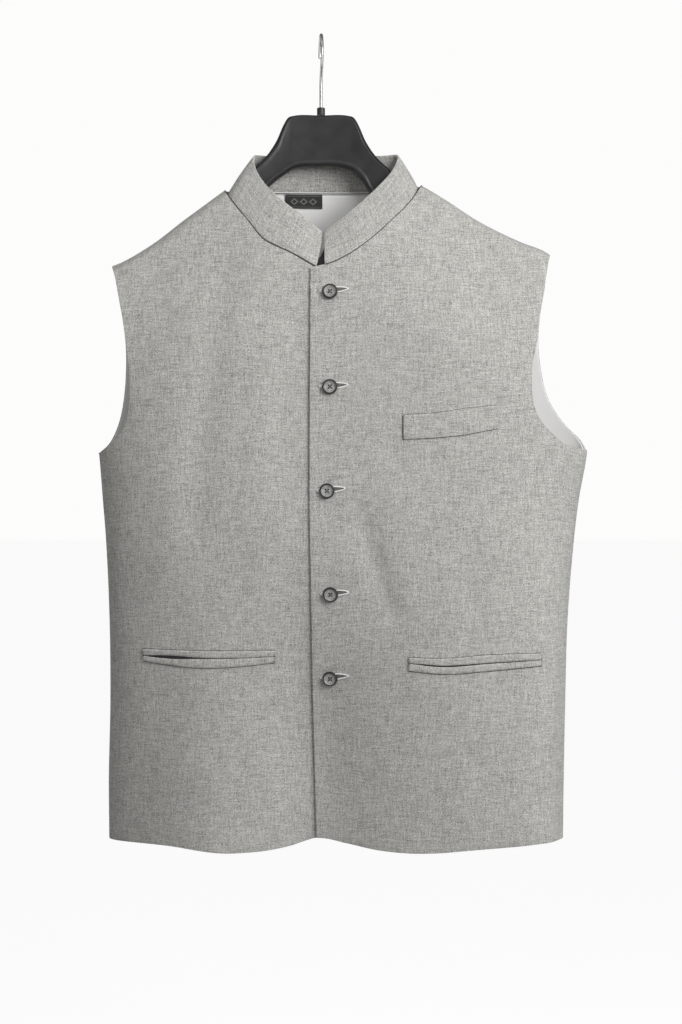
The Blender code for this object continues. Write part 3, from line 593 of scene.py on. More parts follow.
def cloth_lengths(face_y, x, z):
    """Metres of cloth across from x = 0 and up from the hem: slopes summed over a lattice of x and z."""
    xs = np.linspace(-0.25, 0.29, 541)
    zs = np.linspace(-0.86, -0.10, 761)
    y = face_y(*np.meshgrid(xs, zs))
    pitch = xs[1] - xs[0]
    across = np.cumsum(np.hypot(1.0, np.clip(np.gradient(y, pitch, axis=1), -6.0, 6.0)), 1) * pitch
    across -= across[:, [np.argmin(np.abs(xs))]]
    up = np.cumsum(np.hypot(1.0, np.clip(np.gradient(y, pitch, axis=0), -6.0, 6.0)), 0) * pitch
    i = np.clip((x - xs[0]) / pitch, 0.0, len(xs) - 1.001)
    j = np.clip((z - zs[0]) / pitch, 0.0, len(zs) - 1.001)
    i0, j0 = i.astype(int), j.astype(int)
    fi, fj = i - i0, j - j0
    read = [((1 - fi) * (1 - fj) * far[j0, i0] + fi * (1 - fj) * far[j0, i0 + 1]
             + (1 - fi) * fj * far[j0 + 1, i0] + fi * fj * far[j0 + 1, i0 + 1]) for far in (across, up)]
    return np.stack(read, -1)


def grid_lengths(grid):
    """Metres along the columns and rows of a grid, each from its first line."""
    across, up = (np.cumsum(np.linalg.norm(np.diff(grid, axis=axis), axis=2), axis) for axis in (1, 0))
    across = np.pad(across, ((0, 0), (1, 0))).mean(0)
    up = np.pad(up, ((1, 0), (0, 0)))
    return np.stack([np.broadcast_to(across, up.shape), up], -1)


class Amount:
    """A number that varies over a surface: arithmetic on it adds Math nodes to its look."""

    def __init__(self, look, socket):
        self.look = look
        self.socket = socket

    def math(self, operation, *others):
        return self.look.sum(operation, self, *others)

    def __add__(self, other):
        return self.math("ADD", other)

    def __sub__(self, other):
        return self.math("SUBTRACT", other)

    def __rsub__(self, other):
        return self.look.sum("SUBTRACT", other, self)

    def __mul__(self, other):
        return self.math("MULTIPLY", other)

    def __truediv__(self, other):
        return self.math("DIVIDE", other)

    __radd__ = __add__
    __rmul__ = __mul__

    def between(self, low, high):
        """0 below low, 1 above high, smooth between."""
        kind = {"data_type": "FLOAT", "interpolation_type": "SMOOTHSTEP"}
        return Amount(self.look, self.look.add("MapRange", kind, {0: self, 1: low, 2: high}).outputs[0])


class Look:
    """A finish: add() makes any of its nodes, from its type, its settings and its sockets."""

    def __init__(self, name, roughness, metallic=0.0, **constants):
        self.material = bpy.data.materials.new(name)
        self.material.use_nodes = True
        self.tree = self.material.node_tree
        self.shader = self.tree.nodes["Principled BSDF"]
        self.shader.inputs["Roughness"].default_value = roughness
        self.shader.inputs["Metallic"].default_value = metallic
        for socket, value in constants.items():
            self.shader.inputs[socket.replace("_", " ")].default_value = value

    def add(self, kind, settings=None, sockets=None):
        node = self.tree.nodes.new("ShaderNode" + kind)
        for key, value in (settings or {}).items():
            setattr(node, key, value)
        for key, value in (sockets or {}).items():
            self.put(node.inputs[key], value)
        return node

    def put(self, socket, value):
        if isinstance(value, Amount):
            value = value.socket
        if isinstance(value, bpy.types.NodeSocket):
            self.tree.links.new(value, socket)
        else:
            socket.default_value = value

    def sum(self, operation, *terms):
        """One Math node on its terms, which are amounts or numbers."""
        return Amount(self, self.add("Math", {"operation": operation}, dict(enumerate(terms))).outputs[0])

    def cloth_place(self):
        """The piece's own metres of cloth, across and up."""
        place = self.add("UVMap", {"uv_map": "cloth"}).outputs[0]
        parts = self.add("SeparateXYZ", None, {0: place})
        return Amount(self, parts.outputs[0]), Amount(self, parts.outputs[1])

    def point(self):
        """The place on the object, in metres."""
        return self.add("TexCoord").outputs["Object"]

    def noise(self, vector, scale, detail=2.0, flat=False):
        kind = {"noise_dimensions": "2D" if flat else "3D"}
        sockets = {"Vector": vector, "Scale": scale, "Detail": detail}
        return Amount(self, self.add("TexNoise", kind, sockets).outputs[0])

    def vector(self, x, y, z=0.0):
        return self.add("CombineXYZ", None, {0: x, 1: y, 2: z}).outputs[0]

    def blend(self, share, first, second):
        """A colour between two, by a share from 0 to 1."""
        node = self.add("Mix", {"data_type": "RGBA"}, {0: share, 6: first, 7: second})
        return node.outputs[2]

    def colour(self, value):
        self.put(self.shader.inputs["Base Color"], value)

    def relief(self, height, strength, distance):
        bump = self.add("Bump", None, {"Strength": strength, "Distance": distance, "Height": height})
        self.put(self.shader.inputs["Normal"], bump.outputs[0])


def melange_look():
    """Plain weave in two directions: each thread has its own shade, which drifts and slubs along it."""
    look = Look("melange_cloth", 0.88, Sheen_Weight=0.12, Sheen_Roughness=0.45)
    look.shader.inputs["Specular IOR Level"].default_value = 0.25
    u, v = look.cloth_place()
    shades, slubs, rounds = [], [], []
    for across, along, seed in ((u, v, 3.7), (v, u, 91.3)):
        row = (across / THREAD_PITCH).math("FLOOR") * 7.31 + seed
        fleck = look.noise(look.vector(row, along / FLECK_LONG), 1.0, 0.0, flat=True) - 0.5
        drift = look.noise(look.vector(row + 0.5, along / THREAD_DRIFT), 1.0, 0.0, flat=True) - 0.5
        shades.append(fleck * FLECK_CONTRAST + drift * THREAD_CONTRAST)
        thick = (across / SLUB_PITCH).math("FLOOR") * 5.17 + seed
        slubs.append(look.noise(look.vector(thick, along / SLUB_DRIFT), 1.0, 0.0, flat=True))
        rounds.append((across * (math.pi / THREAD_PITCH)).math("SINE").math("ABSOLUTE"))
    over = ((u / THREAD_PITCH).math("FLOOR") + (v / THREAD_PITCH).math("FLOOR")).math("PINGPONG", 1.0)
    shade = shades[0] * over + shades[1] * (1.0 - over)
    light = slubs[0].between(0.64, 0.74) + slubs[1].between(0.64, 0.74)
    dark = slubs[0].between(0.36, 0.26) + slubs[1].between(0.36, 0.26)
    cloudy = look.noise(look.point(), 22.0, 2.0) - 0.5
    share = (shade + light * SLUB_LIGHT - dark * SLUB_DARK + cloudy * 0.03 + 0.5).between(0.0, 1.0)
    look.colour(look.blend(share, (0.165, 0.163, 0.152, 1.0), (0.735, 0.725, 0.690, 1.0)))
    look.relief(rounds[0] * over + rounds[1] * (1.0 - over) + shade * 0.8, 0.30, 0.00014)
    return look.material


def satin_look():
    """Pale satin: close fine lines one way, with soft clouds."""
    look = Look("satin_lining", 0.42, Sheen_Weight=0.2, Sheen_Roughness=0.3)
    u, v = look.cloth_place()
    lines = look.noise(look.vector(u / 0.00045, v / 0.010), 1.0, 1.0, flat=True)
    clouds = look.noise(look.point(), 30.0, 2.0)
    share = (lines * 0.35 + clouds * 0.5 + 0.08).between(0.0, 1.0)
    look.colour(look.blend(share, (0.88, 0.875, 0.86, 1.0), (0.96, 0.955, 0.94, 1.0)))
    look.relief(lines + clouds * 2.0, 0.12, 0.0004)
    return look.material


def plain_cloth_look(name, low, high, pitch, roughness):
    """Fine cloth or thread in one hue, with a little unevenness."""
    look = Look(name, roughness)
    place = look.point()
    grain = look.noise(place, 1.0 / pitch, 2.0)
    look.colour(look.blend(grain.between(0.3, 0.7), (*low, 1.0), (*high, 1.0)))
    look.relief(grain, 0.3, pitch)
    return look.material


def label_look():
    """Black woven tape with a pale edge line and three woven lozenges."""
    look = Look("label_weave", 0.7)
    u, v = look.cloth_place()
    wide, tall = LABEL_X[1] - LABEL_X[0], LABEL_Z[1] - LABEL_Z[0]
    across = (u / 0.0098 + 0.56).math("FRACT") - 0.5
    up = (v - tall / 2.0) / 0.0078
    far = across.math("ABSOLUTE") * 2.0 + up.math("ABSOLUTE") * 2.0
    lozenge = far.between(0.95, 0.85) * far.between(0.45, 0.58)
    inside = (u / wide - 0.5).math("ABSOLUTE").between(0.40, 0.39)
    edge = (v / tall - 0.5).math("ABSOLUTE")
    line = edge.between(0.37, 0.385) * edge.between(0.425, 0.41)
    weave = look.noise(look.vector(u / 0.0004, v / 0.0004), 1.0, 1.0, flat=True).between(0.35, 0.65)
    share = (lozenge * inside * 0.5 + line * 0.35) * (weave * 0.6 + 0.4) + weave * 0.05
    look.colour(look.blend(share, (0.012, 0.012, 0.013, 1.0), (0.42, 0.41, 0.39, 1.0)))
    look.relief(weave, 0.3, 0.0003)
    return look.material


def button_look():
    """Smoky plastic: a grey dished middle, a near-black ring round it, and painted shade in its holes."""
    look = Look("button_plastic", 0.42)
    u, v = look.cloth_place()
    far = (u * u + v * v).math("SQRT") / BUTTON_RADIUS
    ring = far.between(0.74, 0.79)
    swirl = look.noise(look.point(), 420.0, 3.0).between(0.30, 0.72)
    beside, above = (place.math("ABSOLUTE") - HOLE_OUT * math.sqrt(0.5) for place in (u, v))
    near = (beside * beside + above * above).math("SQRT")
    # The holes are painted near-black: shade in their depth
    hole = near.between(HOLE_RADIUS * 1.15, HOLE_RADIUS * 0.8)
    middle = look.blend(swirl, (0.22, 0.218, 0.205, 1.0), (0.42, 0.415, 0.395, 1.0))
    rim = look.blend(ring, middle, (0.009, 0.009, 0.009, 1.0))
    look.colour(look.blend(hole, rim, (0.008, 0.008, 0.008, 1.0)))
    look.relief(swirl, 0.05, 0.0003)
    return look.material


def moulded_look(name, roughness):
    """Black moulded plastic: a fine spark-eroded grain and faint handling marks."""
    look = Look(name, roughness)
    grain = look.noise(look.point(), 2600.0, 2.0)
    marks = look.noise(look.point(), 55.0, 4.0)
    look.colour(look.blend(marks.between(0.3, 0.7), (0.010, 0.010, 0.0105, 1.0), (0.017, 0.017, 0.0175, 1.0)))
    look.put(look.shader.inputs["Roughness"], marks * 0.16 + (roughness - 0.08))
    look.relief(grain, 0.18, 0.0002)
    return look.material


def steel_look():
    """Drawn steel wire: fine lines along it and a little tarnish."""
    look = Look("hook_steel", 0.28, metallic=1.0)
    u, v = look.cloth_place()
    drawn = look.noise(look.vector(u / 0.00018, v / 0.012), 1.0, 2.0, flat=True)
    tarnish = look.noise(look.point(), 70.0, 3.0)
    look.colour(look.blend(tarnish.between(0.35, 0.7), (0.56, 0.56, 0.55, 1.0), (0.40, 0.40, 0.39, 1.0)))
    look.put(look.shader.inputs["Roughness"], drawn * 0.2 + tarnish * 0.15 + 0.14)
    look.relief(drawn, 0.15, 0.0001)
    return look.material


def piece(name, points, faces, looks, slot, stands_for=(), places=None, which=None):
    """A mesh piece that rides on the jacket's body. places: metres of cloth; which: the look of each face."""
    mesh = bpy.data.meshes.new(name)
    mesh.from_pydata(np.asarray(points).reshape(-1, 3).tolist(), [], [list(face) for face in faces])
    for look in looks:
        mesh.materials.append(look)
    if which is not None:
        mesh.polygons.foreach_set("material_index", np.asarray(which, np.int32))
    if places is not None:
        corner = np.empty(len(mesh.loops), np.int32)
        mesh.loops.foreach_get("vertex_index", corner)
        layer = mesh.uv_layers.new(name="cloth")
        layer.data.foreach_set("uv", np.asarray(places, np.float32).reshape(-1, 2)[corner].ravel())
    mesh.shade_smooth()
    made = bpy.data.objects.new(name, mesh)
    bpy.context.scene.collection.objects.link(made)
    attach(made, "root")
    if stands_for:
        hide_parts(*stands_for)
    return made


def quads(index):
    """Quads over a grid of vertex numbers."""
    return np.stack([index[:-1, :-1], index[:-1, 1:], index[1:, 1:], index[1:, :-1]], -1).reshape(-1, 4)


def closed(index):
    """A grid of vertex numbers with its first column again after its last."""
    return np.concatenate([index, index[:, :1]], 1)


def loft_faces(rings, sides, outward=True):
    """Quads between rings numbered in order, and at each end a fan to a pole, numbered after them."""
    index = closed(np.arange(rings * sides).reshape(rings, sides))
    first, last = rings * sides, rings * sides + 1
    faces = quads(index).tolist()
    faces += [[index[0, k + 1], index[0, k], first] for k in range(sides)]
    faces += [[index[-1, k], index[-1, k + 1], last] for k in range(sides)]
    return faces if outward else [face[::-1] for face in faces]


def shell(name, grid, wall, looks, slot, stands_for, places, out=1.0):
    """A sheet with its wall behind it: two faces, joined round the edge by a rolled rim.

    The rim is two quarter arcs of radius RIM, carried round the edge on the outward direction.
    """
    rows, columns = grid.shape[:2]
    face = normals(grid) * out
    flat, n = grid.reshape(-1, 3), face.reshape(-1, 3)
    index = np.arange(rows * columns).reshape(rows, columns)
    ring = np.concatenate([index[0, :-1], index[:-1, -1], index[-1, :0:-1], index[:0:-1, 0]])
    inside = index[np.clip(ring // columns, 1, rows - 2), np.clip(ring % columns, 1, columns - 2)]
    edge, up = flat[ring], n[ring]
    away = edge - flat[inside]
    away = unit(away - up * (away * up).sum(1, keepdims=True) + 1e-12)
    radius = min(RIM, wall * 0.45)
    turn = np.radians((30.0, 60.0, 90.0))[:, None, None]
    first = edge - up * radius + radius * (up * np.cos(turn) + away * np.sin(turn))
    turn = np.radians((0.0, 30.0, 60.0))[:, None, None]
    second = edge - up * (wall - radius) + radius * (away * np.cos(turn) - up * np.sin(turn))
    points = np.concatenate([flat, flat - n * wall, first.reshape(-1, 3), second.reshape(-1, 3)])
    count = rows * columns
    arcs = 2 * count + np.arange(6 * len(ring)).reshape(6, -1)
    around = closed(np.concatenate([ring[None], arcs, ring[None] + count]))
    faces = np.concatenate([quads(index), quads(index)[:, ::-1] + count, quads(around)[:, ::-1]])
    if out < 0.0:
        faces = faces[:, ::-1]
    sheet = len(quads(index))
    which = np.zeros(len(faces), int)
    which[sheet:2 * sheet] = len(looks) - 1
    uv = places.reshape(-1, 2)
    uv = np.concatenate([uv, uv, np.tile(uv[ring], (6, 1))])
    return piece(name, points, faces, looks, slot, stands_for, uv, which)


def tube(path, radius, sides):
    """A round wire along a path: rings square to it, carried on without twist, and closed ends."""
    path = np.asarray(path, float)
    along = unit(np.gradient(path, axis=0))
    side = unit(np.cross(along[0], (0.31, 0.52, 0.79)))
    rings = []
    for centre, way in zip(path, along):
        side = unit(side - way * np.dot(side, way))
        other = np.cross(way, side)
        turn = np.linspace(0.0, 2.0 * math.pi, sides, endpoint=False)[:, None]
        rings.append(centre + radius * (side * np.cos(turn) + other * np.sin(turn)))
    points = np.concatenate([np.concatenate(rings), path[:1], path[-1:]])
    far = np.concatenate([[0.0], np.cumsum(np.linalg.norm(np.diff(path, axis=0), axis=1))])
    round_it = np.arange(sides) * (2.0 * math.pi * radius / sides)
    uv = np.stack(np.broadcast_arrays(round_it[None], far[:, None]), -1).reshape(-1, 2)
    return points, loft_faces(len(path), sides), np.concatenate([uv, [[0.0, 0.0], [0.0, far[-1]]]])


def bundle(shapes):
    """Several meshes as one: their points end to end, and their faces renumbered."""
    points, faces, places, start = [], [], [], 0
    for p, f, uv in shapes:
        points.append(p)
        faces += [[i + start for i in face] for face in f]
        places.append(uv)
        start += len(p)
    return np.concatenate(points), faces, np.concatenate(places)


def stitches(middle, along, up, long, thick):
    """Short threads: a ring of six carried along each one's arc, closed to a point at both ends.

    A thread's centre line is its middle + long * s * along, humped up by thick * (1 - 4 s^2).
    """
    middle, along, up = (np.asarray(v, float) for v in (middle, along, up))
    along = unit(along)
    up = unit(up - along * (along * up).sum(-1, keepdims=True))
    across = np.cross(along, up)
    s = np.array([-0.5, -0.38, -0.12, 0.12, 0.38, 0.5])
    fat = thick / 2.0 * np.array([0.0, 0.8, 1.0, 1.0, 0.8, 0.0])
    turn = np.linspace(0.0, 2.0 * math.pi, 6, endpoint=False)
    line = (middle[:, None] + along[:, None] * (long * s)[None, :, None]
            + up[:, None] * (thick * (1.0 - 4.0 * s ** 2))[None, :, None])
    ring = (across[:, None] * np.cos(turn)[None, :, None] + up[:, None] * np.sin(turn)[None, :, None])
    body = line[:, 1:-1, None] + ring[:, None] * fat[1:-1][None, :, None, None]
    count = len(middle)
    points = np.concatenate([body.reshape(count, 24, 3), line[:, :1], line[:, -1:]], 1)
    faces = [[i + 26 * n for i in face] for n in range(count) for face in loft_faces(4, 6)]
    return points.reshape(-1, 3), faces, np.zeros((26 * count, 2))


def seam_shade_line(name, runs, radius):
    """Painted shadow in the ditch of a seam: thin dark cords sunk in it, each one along x, z at a height over
    the front.
    """
    shapes = [tube(on_front(x, z, out + np.zeros_like(x))[0], radius, 8) for x, z, out in runs]
    piece(name, *bundle(shapes)[:2], [SEAM_SHADE], "melange_cloth")


def pad_strip(x, low, high, out, crown, rows=10):
    """Points of a strip laid on the front between two lines, crowned across by crown * (1 - (2t - 1)^4)."""
    t = steps(rows)[:, None]
    xs = np.broadcast_to(x, (rows + 1, len(x)))
    zs = low + (high - low) * t
    return on_front(xs, zs, out + crown * (1.0 - (2.0 * t - 1.0) ** 4) + np.zeros_like(xs))[0]


def front_places(grid):
    return cloth_lengths(front_y, grid[..., 0], grid[..., 2])


def back_places(grid):
    return cloth_lengths(back_y, grid[..., 0], grid[..., 2])


def tack(name, x, z, out, along, stitch):
    """Dark stitches all one way, on the front at x, z and a height over it. stitch: length, thickness."""
    middle, n = on_front(x, z, out)
    points, faces, _ = stitches(middle, np.tile(along, (len(x), 1)), n, *stitch)
    piece(name, points, faces, [DARK_THREAD], "melange_cloth")


def up_an_end(table, x, shares):
    """Heights at the given shares of the way from a pocket's foot to its top."""
    foot, top = at(table, "foot", x), at(table, "top", x)
    return foot + (top - foot) * shares


def make_jets(side):
    """Two padded lips, the upper over the lower, with a near-black sheet of painted shade in the mouth
    between them.
    """
    table, mouth = WAIST[side], MOUTH[side]
    x = np.linspace(table["x"][0], table["x"][-1], JET_COLUMNS)
    gap = at(mouth, "gap", x)
    top, slit, foot = (at(table, line, x) for line in ("top", "slit", "foot"))
    made = []
    for name, low, high in (("upper", slit + gap * 0.5, top), ("lower", foot, slit - gap * 0.5)):
        node = "waist_jet_" + name + "_" + side
        grid = pad_strip(x, low, high, JET_OUT, JET_CROWN)
        made.append(shell(node + "_cloth", grid, WELT_WALL, [MELANGE], "melange_cloth", [node],
                          front_places(grid) + JET_SHIFT))
    # The mouth's shadow is painted: a near-black sheet laid in the slit between the lips
    grid = pad_strip(x, slit - gap * 0.5 - MOUTH_TUCK, slit + gap * 0.5 + MOUTH_TUCK, MOUTH_OUT, 0.0, 4)
    shell("pocket_mouth_shade_" + side, grid, MOUTH_WALL, [PAINTED_SHADE], "melange_cloth", (), front_places(grid))
    # Painted shadow round the lips: dark cords along their top, foot and ends
    runs = [(x, top + SEAM_BESIDE, SEAM_RISE), (x, foot - SEAM_BESIDE, SEAM_RISE)]
    for end in (x[0] - SEAM_BESIDE, x[-1] + SEAM_BESIDE):
        runs.append((np.full(9, end), up_an_end(table, end, steps(8)), SEAM_RISE))
    seam_shade_line("waist_seam_shade_" + side, runs, SEAM_THIN)
    dots = np.linspace(x[0] + STITCH_START, x[-1] - STITCH_START, FOOT_STITCHES)
    ends = (x[0] + STITCH_IN, x[-1] - STITCH_IN)
    xs = np.concatenate([dots, np.repeat(ends, END_STITCHES)])
    rise = np.linspace(0.15, 0.85, END_STITCHES)
    low = at(table, "foot", dots) + STITCH_RISE
    zs = np.concatenate([low] + [up_an_end(table, end, rise) for end in ends])
    out = STITCH_RISE + (JET_OUT + JET_CROWN) * (np.arange(len(xs)) >= FOOT_STITCHES)
    tack("waist_stitches_" + side, xs, zs, out, (1.0, 0.0, 0.0), JET_STITCH)
    return made


def make_welt():
    """A padded band over the breast pocket, with tacking at both ends."""
    x = np.linspace(BREAST["x"][0], BREAST["x"][-1], WELT_COLUMNS)
    top, foot = at(BREAST, "top", x), at(BREAST, "foot", x)
    grid = pad_strip(x, foot, top, WELT_OUT, WELT_CROWN, 14)
    welt = shell("breast_welt_cloth", grid, WELT_WALL, [MELANGE], "melange_cloth", ["breast_welt"],
                 front_places(grid) + WELT_SHIFT)
    ends = []
    for end in (x[0] - 0.0005, x[-1] + 0.0002):
        z = np.linspace(at(BREAST, "foot", end) - 0.0008, at(BREAST, "top", end), 12)
        ends.append((np.full(12, end), z, SEAM_RISE))
    # Painted shadow: dark cords along the welt's top, foot and right end, and a thicker one at its left end,
    # where it stands proud
    edges = [(x, top + 0.0005, SEAM_RISE), (x, foot - SEAM_BESIDE, SEAM_RISE)]
    seam_shade_line("welt_seam_shade", edges + ends[1:], SEAM_THIN)
    seam_shade_line("welt_end_shadow", ends[:1], WELT_END_THICK)
    share = np.linspace(0.06, 0.94, WELT_STITCHES)
    xs = np.repeat((x[0] + 0.0012, x[-1] - 0.0012), WELT_STITCHES)
    zs = np.concatenate([up_an_end(BREAST, end, share) for end in (x[0], x[-1])])
    tack("welt_stitches", xs, zs, np.full(len(xs), WELT_OUT + 0.0001), (0.0, 0.0, 1.0), WELT_STITCH)
    return welt


def make_button(number, x, z):
    """A turned disc as a height over polar rings, its four holes sunk in; thread crosses between them."""
    centre, n = on_front(np.array([x]), np.array([z]), np.array([BUTTON_OFF]))
    centre, n = centre[0], n[0]
    right = unit(np.cross((0.0, 0.0, 1.0), n))
    right = right if right[0] > 0.0 else -right
    up = np.cross(n, right) if np.cross(n, right)[2] > 0.0 else np.cross(right, n)
    share = np.concatenate([np.linspace(0.0, 0.42, 30)[1:], np.linspace(0.42, 1.0, 26)[1:]])
    turn = np.linspace(0.0, 2.0 * math.pi, BUTTON_SIDES, endpoint=False)
    a = BUTTON_RADIUS * share[:, None] * np.cos(turn)
    b = BUTTON_RADIUS * share[:, None] * np.sin(turn)
    high = at(BUTTON_PROFILE, "high", share, "share")[:, None] + np.zeros_like(a)
    off = HOLE_OUT * math.sqrt(0.5)
    hole = np.hypot(np.abs(a) - off, np.abs(b) - off)
    high -= HOLE_DEEP * (1.0 - smooth(hole, HOLE_RADIUS * 0.75, HOLE_RADIUS * 1.05))
    under, under_high = (np.array(BUTTON_UNDER[key])[:, None] for key in ("share", "high"))
    a = np.concatenate([a, BUTTON_RADIUS * under * np.cos(turn)])
    b = np.concatenate([b, BUTTON_RADIUS * under * np.sin(turn)])
    high = np.concatenate([high, under_high + 0.0 * under * turn])
    points = centre + a[..., None] * right + b[..., None] * up + high[..., None] * n
    points = np.concatenate([points.reshape(-1, 3), [centre + n * BUTTON_PROFILE["high"][0]], [centre]])
    faces = loft_faces(*a.shape, outward=False)
    uv = np.concatenate([np.stack([a, b], -1).reshape(-1, 2), [[0.0, 0.0], [0.0, 0.0]]])
    piece("button_%d_disc" % number, points, faces, [BUTTON], "button_plastic", ["button_%d" % number], uv)
    threads = []
    t = np.linspace(-1.0, 1.0, 13)[:, None]
    for slope in (1.0, -1.0):
        for beside in (-THREAD_APART, THREAD_APART):
            line = (right + up * slope) * off * t + unit(right - up * slope) * beside
            rise = BUTTON_PROFILE["high"][0] + 0.0003 - 0.0010 * np.abs(t) ** 6 + 0.00012 * slope
            threads.append(tube(centre + line + n * rise, THREAD_RADIUS, 8))
    shank = centre + n * np.linspace(-BUTTON_OFF + 0.0002, -0.0001, 5)[:, None]
    threads.append(tube(shank, SHANK_RADIUS, 12))
    piece("button_%d_thread" % number, *bundle(threads)[:2], [DARK_THREAD], "button_plastic")


def make_buttonhole(number, x, z):
    """Whipped stitches square to a lens-shaped loop, over a core thread, with a dark sheet of painted shade
    in the slit inside.

    The loop's half height is half * sin(pi s)^round, from one end, s = 0, to the other.
    """
    hole = BUTTONHOLE
    start, end = hole["reach"]
    s = easing(48)
    lens = hole["half"] * np.sin(math.pi * s) ** hole["round"]
    xs, zs = x + start + (end - start) * s, z + HOLE_RISE + HOLE_TILT[number - 1] * s
    loop = np.concatenate([np.stack([xs, zs + lens], 1), np.stack([xs, zs - lens], 1)[-2:0:-1]])
    loop = spaced(np.concatenate([loop, loop[:1]]), steps(hole["whips"]))
    ahead = unit(np.roll(loop[:-1], -1, 0) - np.roll(loop[:-1], 1, 0))
    square = np.stack([-ahead[:, 1], ahead[:, 0]], 1)
    off = np.full(len(loop), hole["off"])
    core = on_front(*loop.T, off)[0]
    middle, n = on_front(*loop[:-1].T, off[:-1])
    beside = on_front(*(loop[:-1] + square * 1e-4).T, off[:-1])[0]
    shapes = [stitches(middle, beside - middle, n, hole["long"], hole["thick"]), tube(core, hole["core"], 6)]
    piece("buttonhole_%d" % number, *bundle(shapes)[:2], [WHITE_THREAD], "melange_cloth")
    # The slit's shadow is painted: a dark sheet just over the front inside the loop
    t = np.linspace(-1.0, 1.0, 7)[:, None]
    across, down = xs + 0.0 * t, zs + lens * hole["slit"] * t
    grid = on_front(across[:, 1:-1], down[:, 1:-1], np.full((7, len(xs) - 2), hole["off"] * 0.6))[0]
    shell("buttonhole_%d_slit" % number, grid, MOUTH_WALL, [SLIT_SHADE], "melange_cloth", (),
          grid_lengths(grid))


def make_collar_gap(collar):
    """Painted shade: a dark strip just inside the lower half of the collar's ends, where it shows between
    them.

    It is inner (1 - t) + inner' t, from the inner face of the right end to that of the left one,
    and t starts later in each row, so that the strip draws to a point behind the left end.
    """
    inner = (collar + normals(collar) * (COLLAR_WALL / 2.0 + SEAM_RISE))[:GAP_ROWS]
    first = GAP_PAST * (2.0 * steps(GAP_ROWS - 1) - 1.0) + steps(GAP_ROWS - 1)
    t = (first[:, None] + (1.0 + GAP_PAST + 0.01 - first[:, None]) * steps(6))[..., None]
    grid = inner[:, :1] * (1.0 - t) + inner[:, -1:] * t
    shell("collar_gap_shade", grid, MOUTH_WALL, [PAINTED_SHADE], "melange_cloth", (), grid_lengths(grid), -1.0)


def hanger_top(x):
    """Neck of the hanger near the middle, then just under the shoulder seams."""
    on_neck = np.abs(x) <= HANGER_TOP["x"][-1]
    return np.where(on_neck, at(HANGER_TOP, "z", np.abs(x)), shoulder(x) - HANGER_UNDER)


def make_hanger():
    """Loft along X under the shoulder line; its section is a rounded rim, a low step in and a flat face."""
    bare = np.concatenate([np.linspace(0.0, 0.026, 10), np.linspace(0.026, 0.062, 40)[1:],
                           np.linspace(0.062, HANGER_REACH - HANGER_END, 60)[1:]])
    ends = HANGER_REACH - HANGER_END * (1.0 - np.sin(np.radians(np.linspace(0.0, 86.0, 13)[1:])))
    half = np.concatenate([bare, ends])
    x = np.concatenate([-half[:0:-1], half])
    past = np.maximum(np.abs(x) - (HANGER_REACH - HANGER_END), 0.0) / HANGER_END
    draw = np.sqrt(np.maximum(1.0 - past ** 2, 0.0))
    top, foot = hanger_top(x), at(HANGER_FOOT, "z", x)
    wide = at(SHOULDER_HALF, "half", np.abs(x)) - HANGER_IN
    thick = HANGER_NECK_HALF + (wide - HANGER_NECK_HALF) * smooth(np.abs(x), 0.050, 0.080)
    slant = [np.minimum(np.hypot(1.0, np.gradient(edge, x)), 2.6) for edge in (top, foot)]
    middle = (top + foot) / 2.0
    top, foot = middle + (top - middle) * draw, middle + (foot - middle) * draw
    deep = np.asarray(HANGER_SECTION["deep"])
    share = np.asarray(HANGER_SECTION["share"])
    room = ((top - foot) * 0.46)[:, None]
    down = np.minimum(deep * slant[0][:, None], room * deep / deep[-1])
    rise = np.minimum(deep * slant[1][:, None], room * deep / deep[-1])
    half_z = np.concatenate([top[:, None] - down, foot[:, None] + rise[:, ::-1]], 1)
    half_y = np.concatenate([share, share[::-1]])[None] * (thick * draw)[:, None]
    z = np.concatenate([half_z, half_z[:, -2:0:-1]], 1)
    y = ridge(x)[:, None] + np.concatenate([-half_y, half_y[:, -2:0:-1]], 1)
    grid = np.stack([np.repeat(x[:, None], z.shape[1], 1), y, z], -1)
    points = np.concatenate([grid.reshape(-1, 3), [grid[0].mean(0)], [grid[-1].mean(0)]])
    faces = loft_faces(*z.shape, outward=False)
    piece("hanger_moulding", points, faces, [MOULDED], "hanger_plastic", ["hanger_body"])


def make_hook():
    """Round steel wire: round from the open tip over the rail and back under, then an S into the shank."""
    centre = -(HOOK_RADIUS - WIRE)
    turn = np.radians(np.linspace(0.0, HOOK_TURN, 60))
    y = HOOK_RADIUS * np.cos(turn)
    z = centre + HOOK_RADIUS * np.sin(turn)
    start = np.array([y[-1], z[-1]])
    heading = np.array([-math.sin(turn[-1]), math.cos(turn[-1])])
    end = np.array([0.0, HOOK_SHANK])
    reach = 0.45 * np.linalg.norm(end - start)
    t = np.linspace(0.0, 1.0, 25)[1:, None]
    bend = ((1 - t) ** 3 * start + 3 * t * (1 - t) ** 2 * (start + heading * reach)
            + 3 * t ** 2 * (1 - t) * (end + np.array([0.0, reach])) + t ** 3 * end)
    shank = np.stack([np.zeros(8), np.linspace(HOOK_SHANK, HOOK_FOOT, 9)[1:]], 1)
    line = np.concatenate([np.stack([y, z], 1), bend, shank])
    yaw = math.radians(HOOK_YAW)
    path = np.stack([-math.sin(yaw) * line[:, 0], math.cos(yaw) * line[:, 0], line[:, 1]], 1)
    points, faces, uv = tube(path, WIRE, 20)
    piece("hanger_hook_wire", points, faces, [STEEL], "hook_steel", ["hanger_hook"], uv)


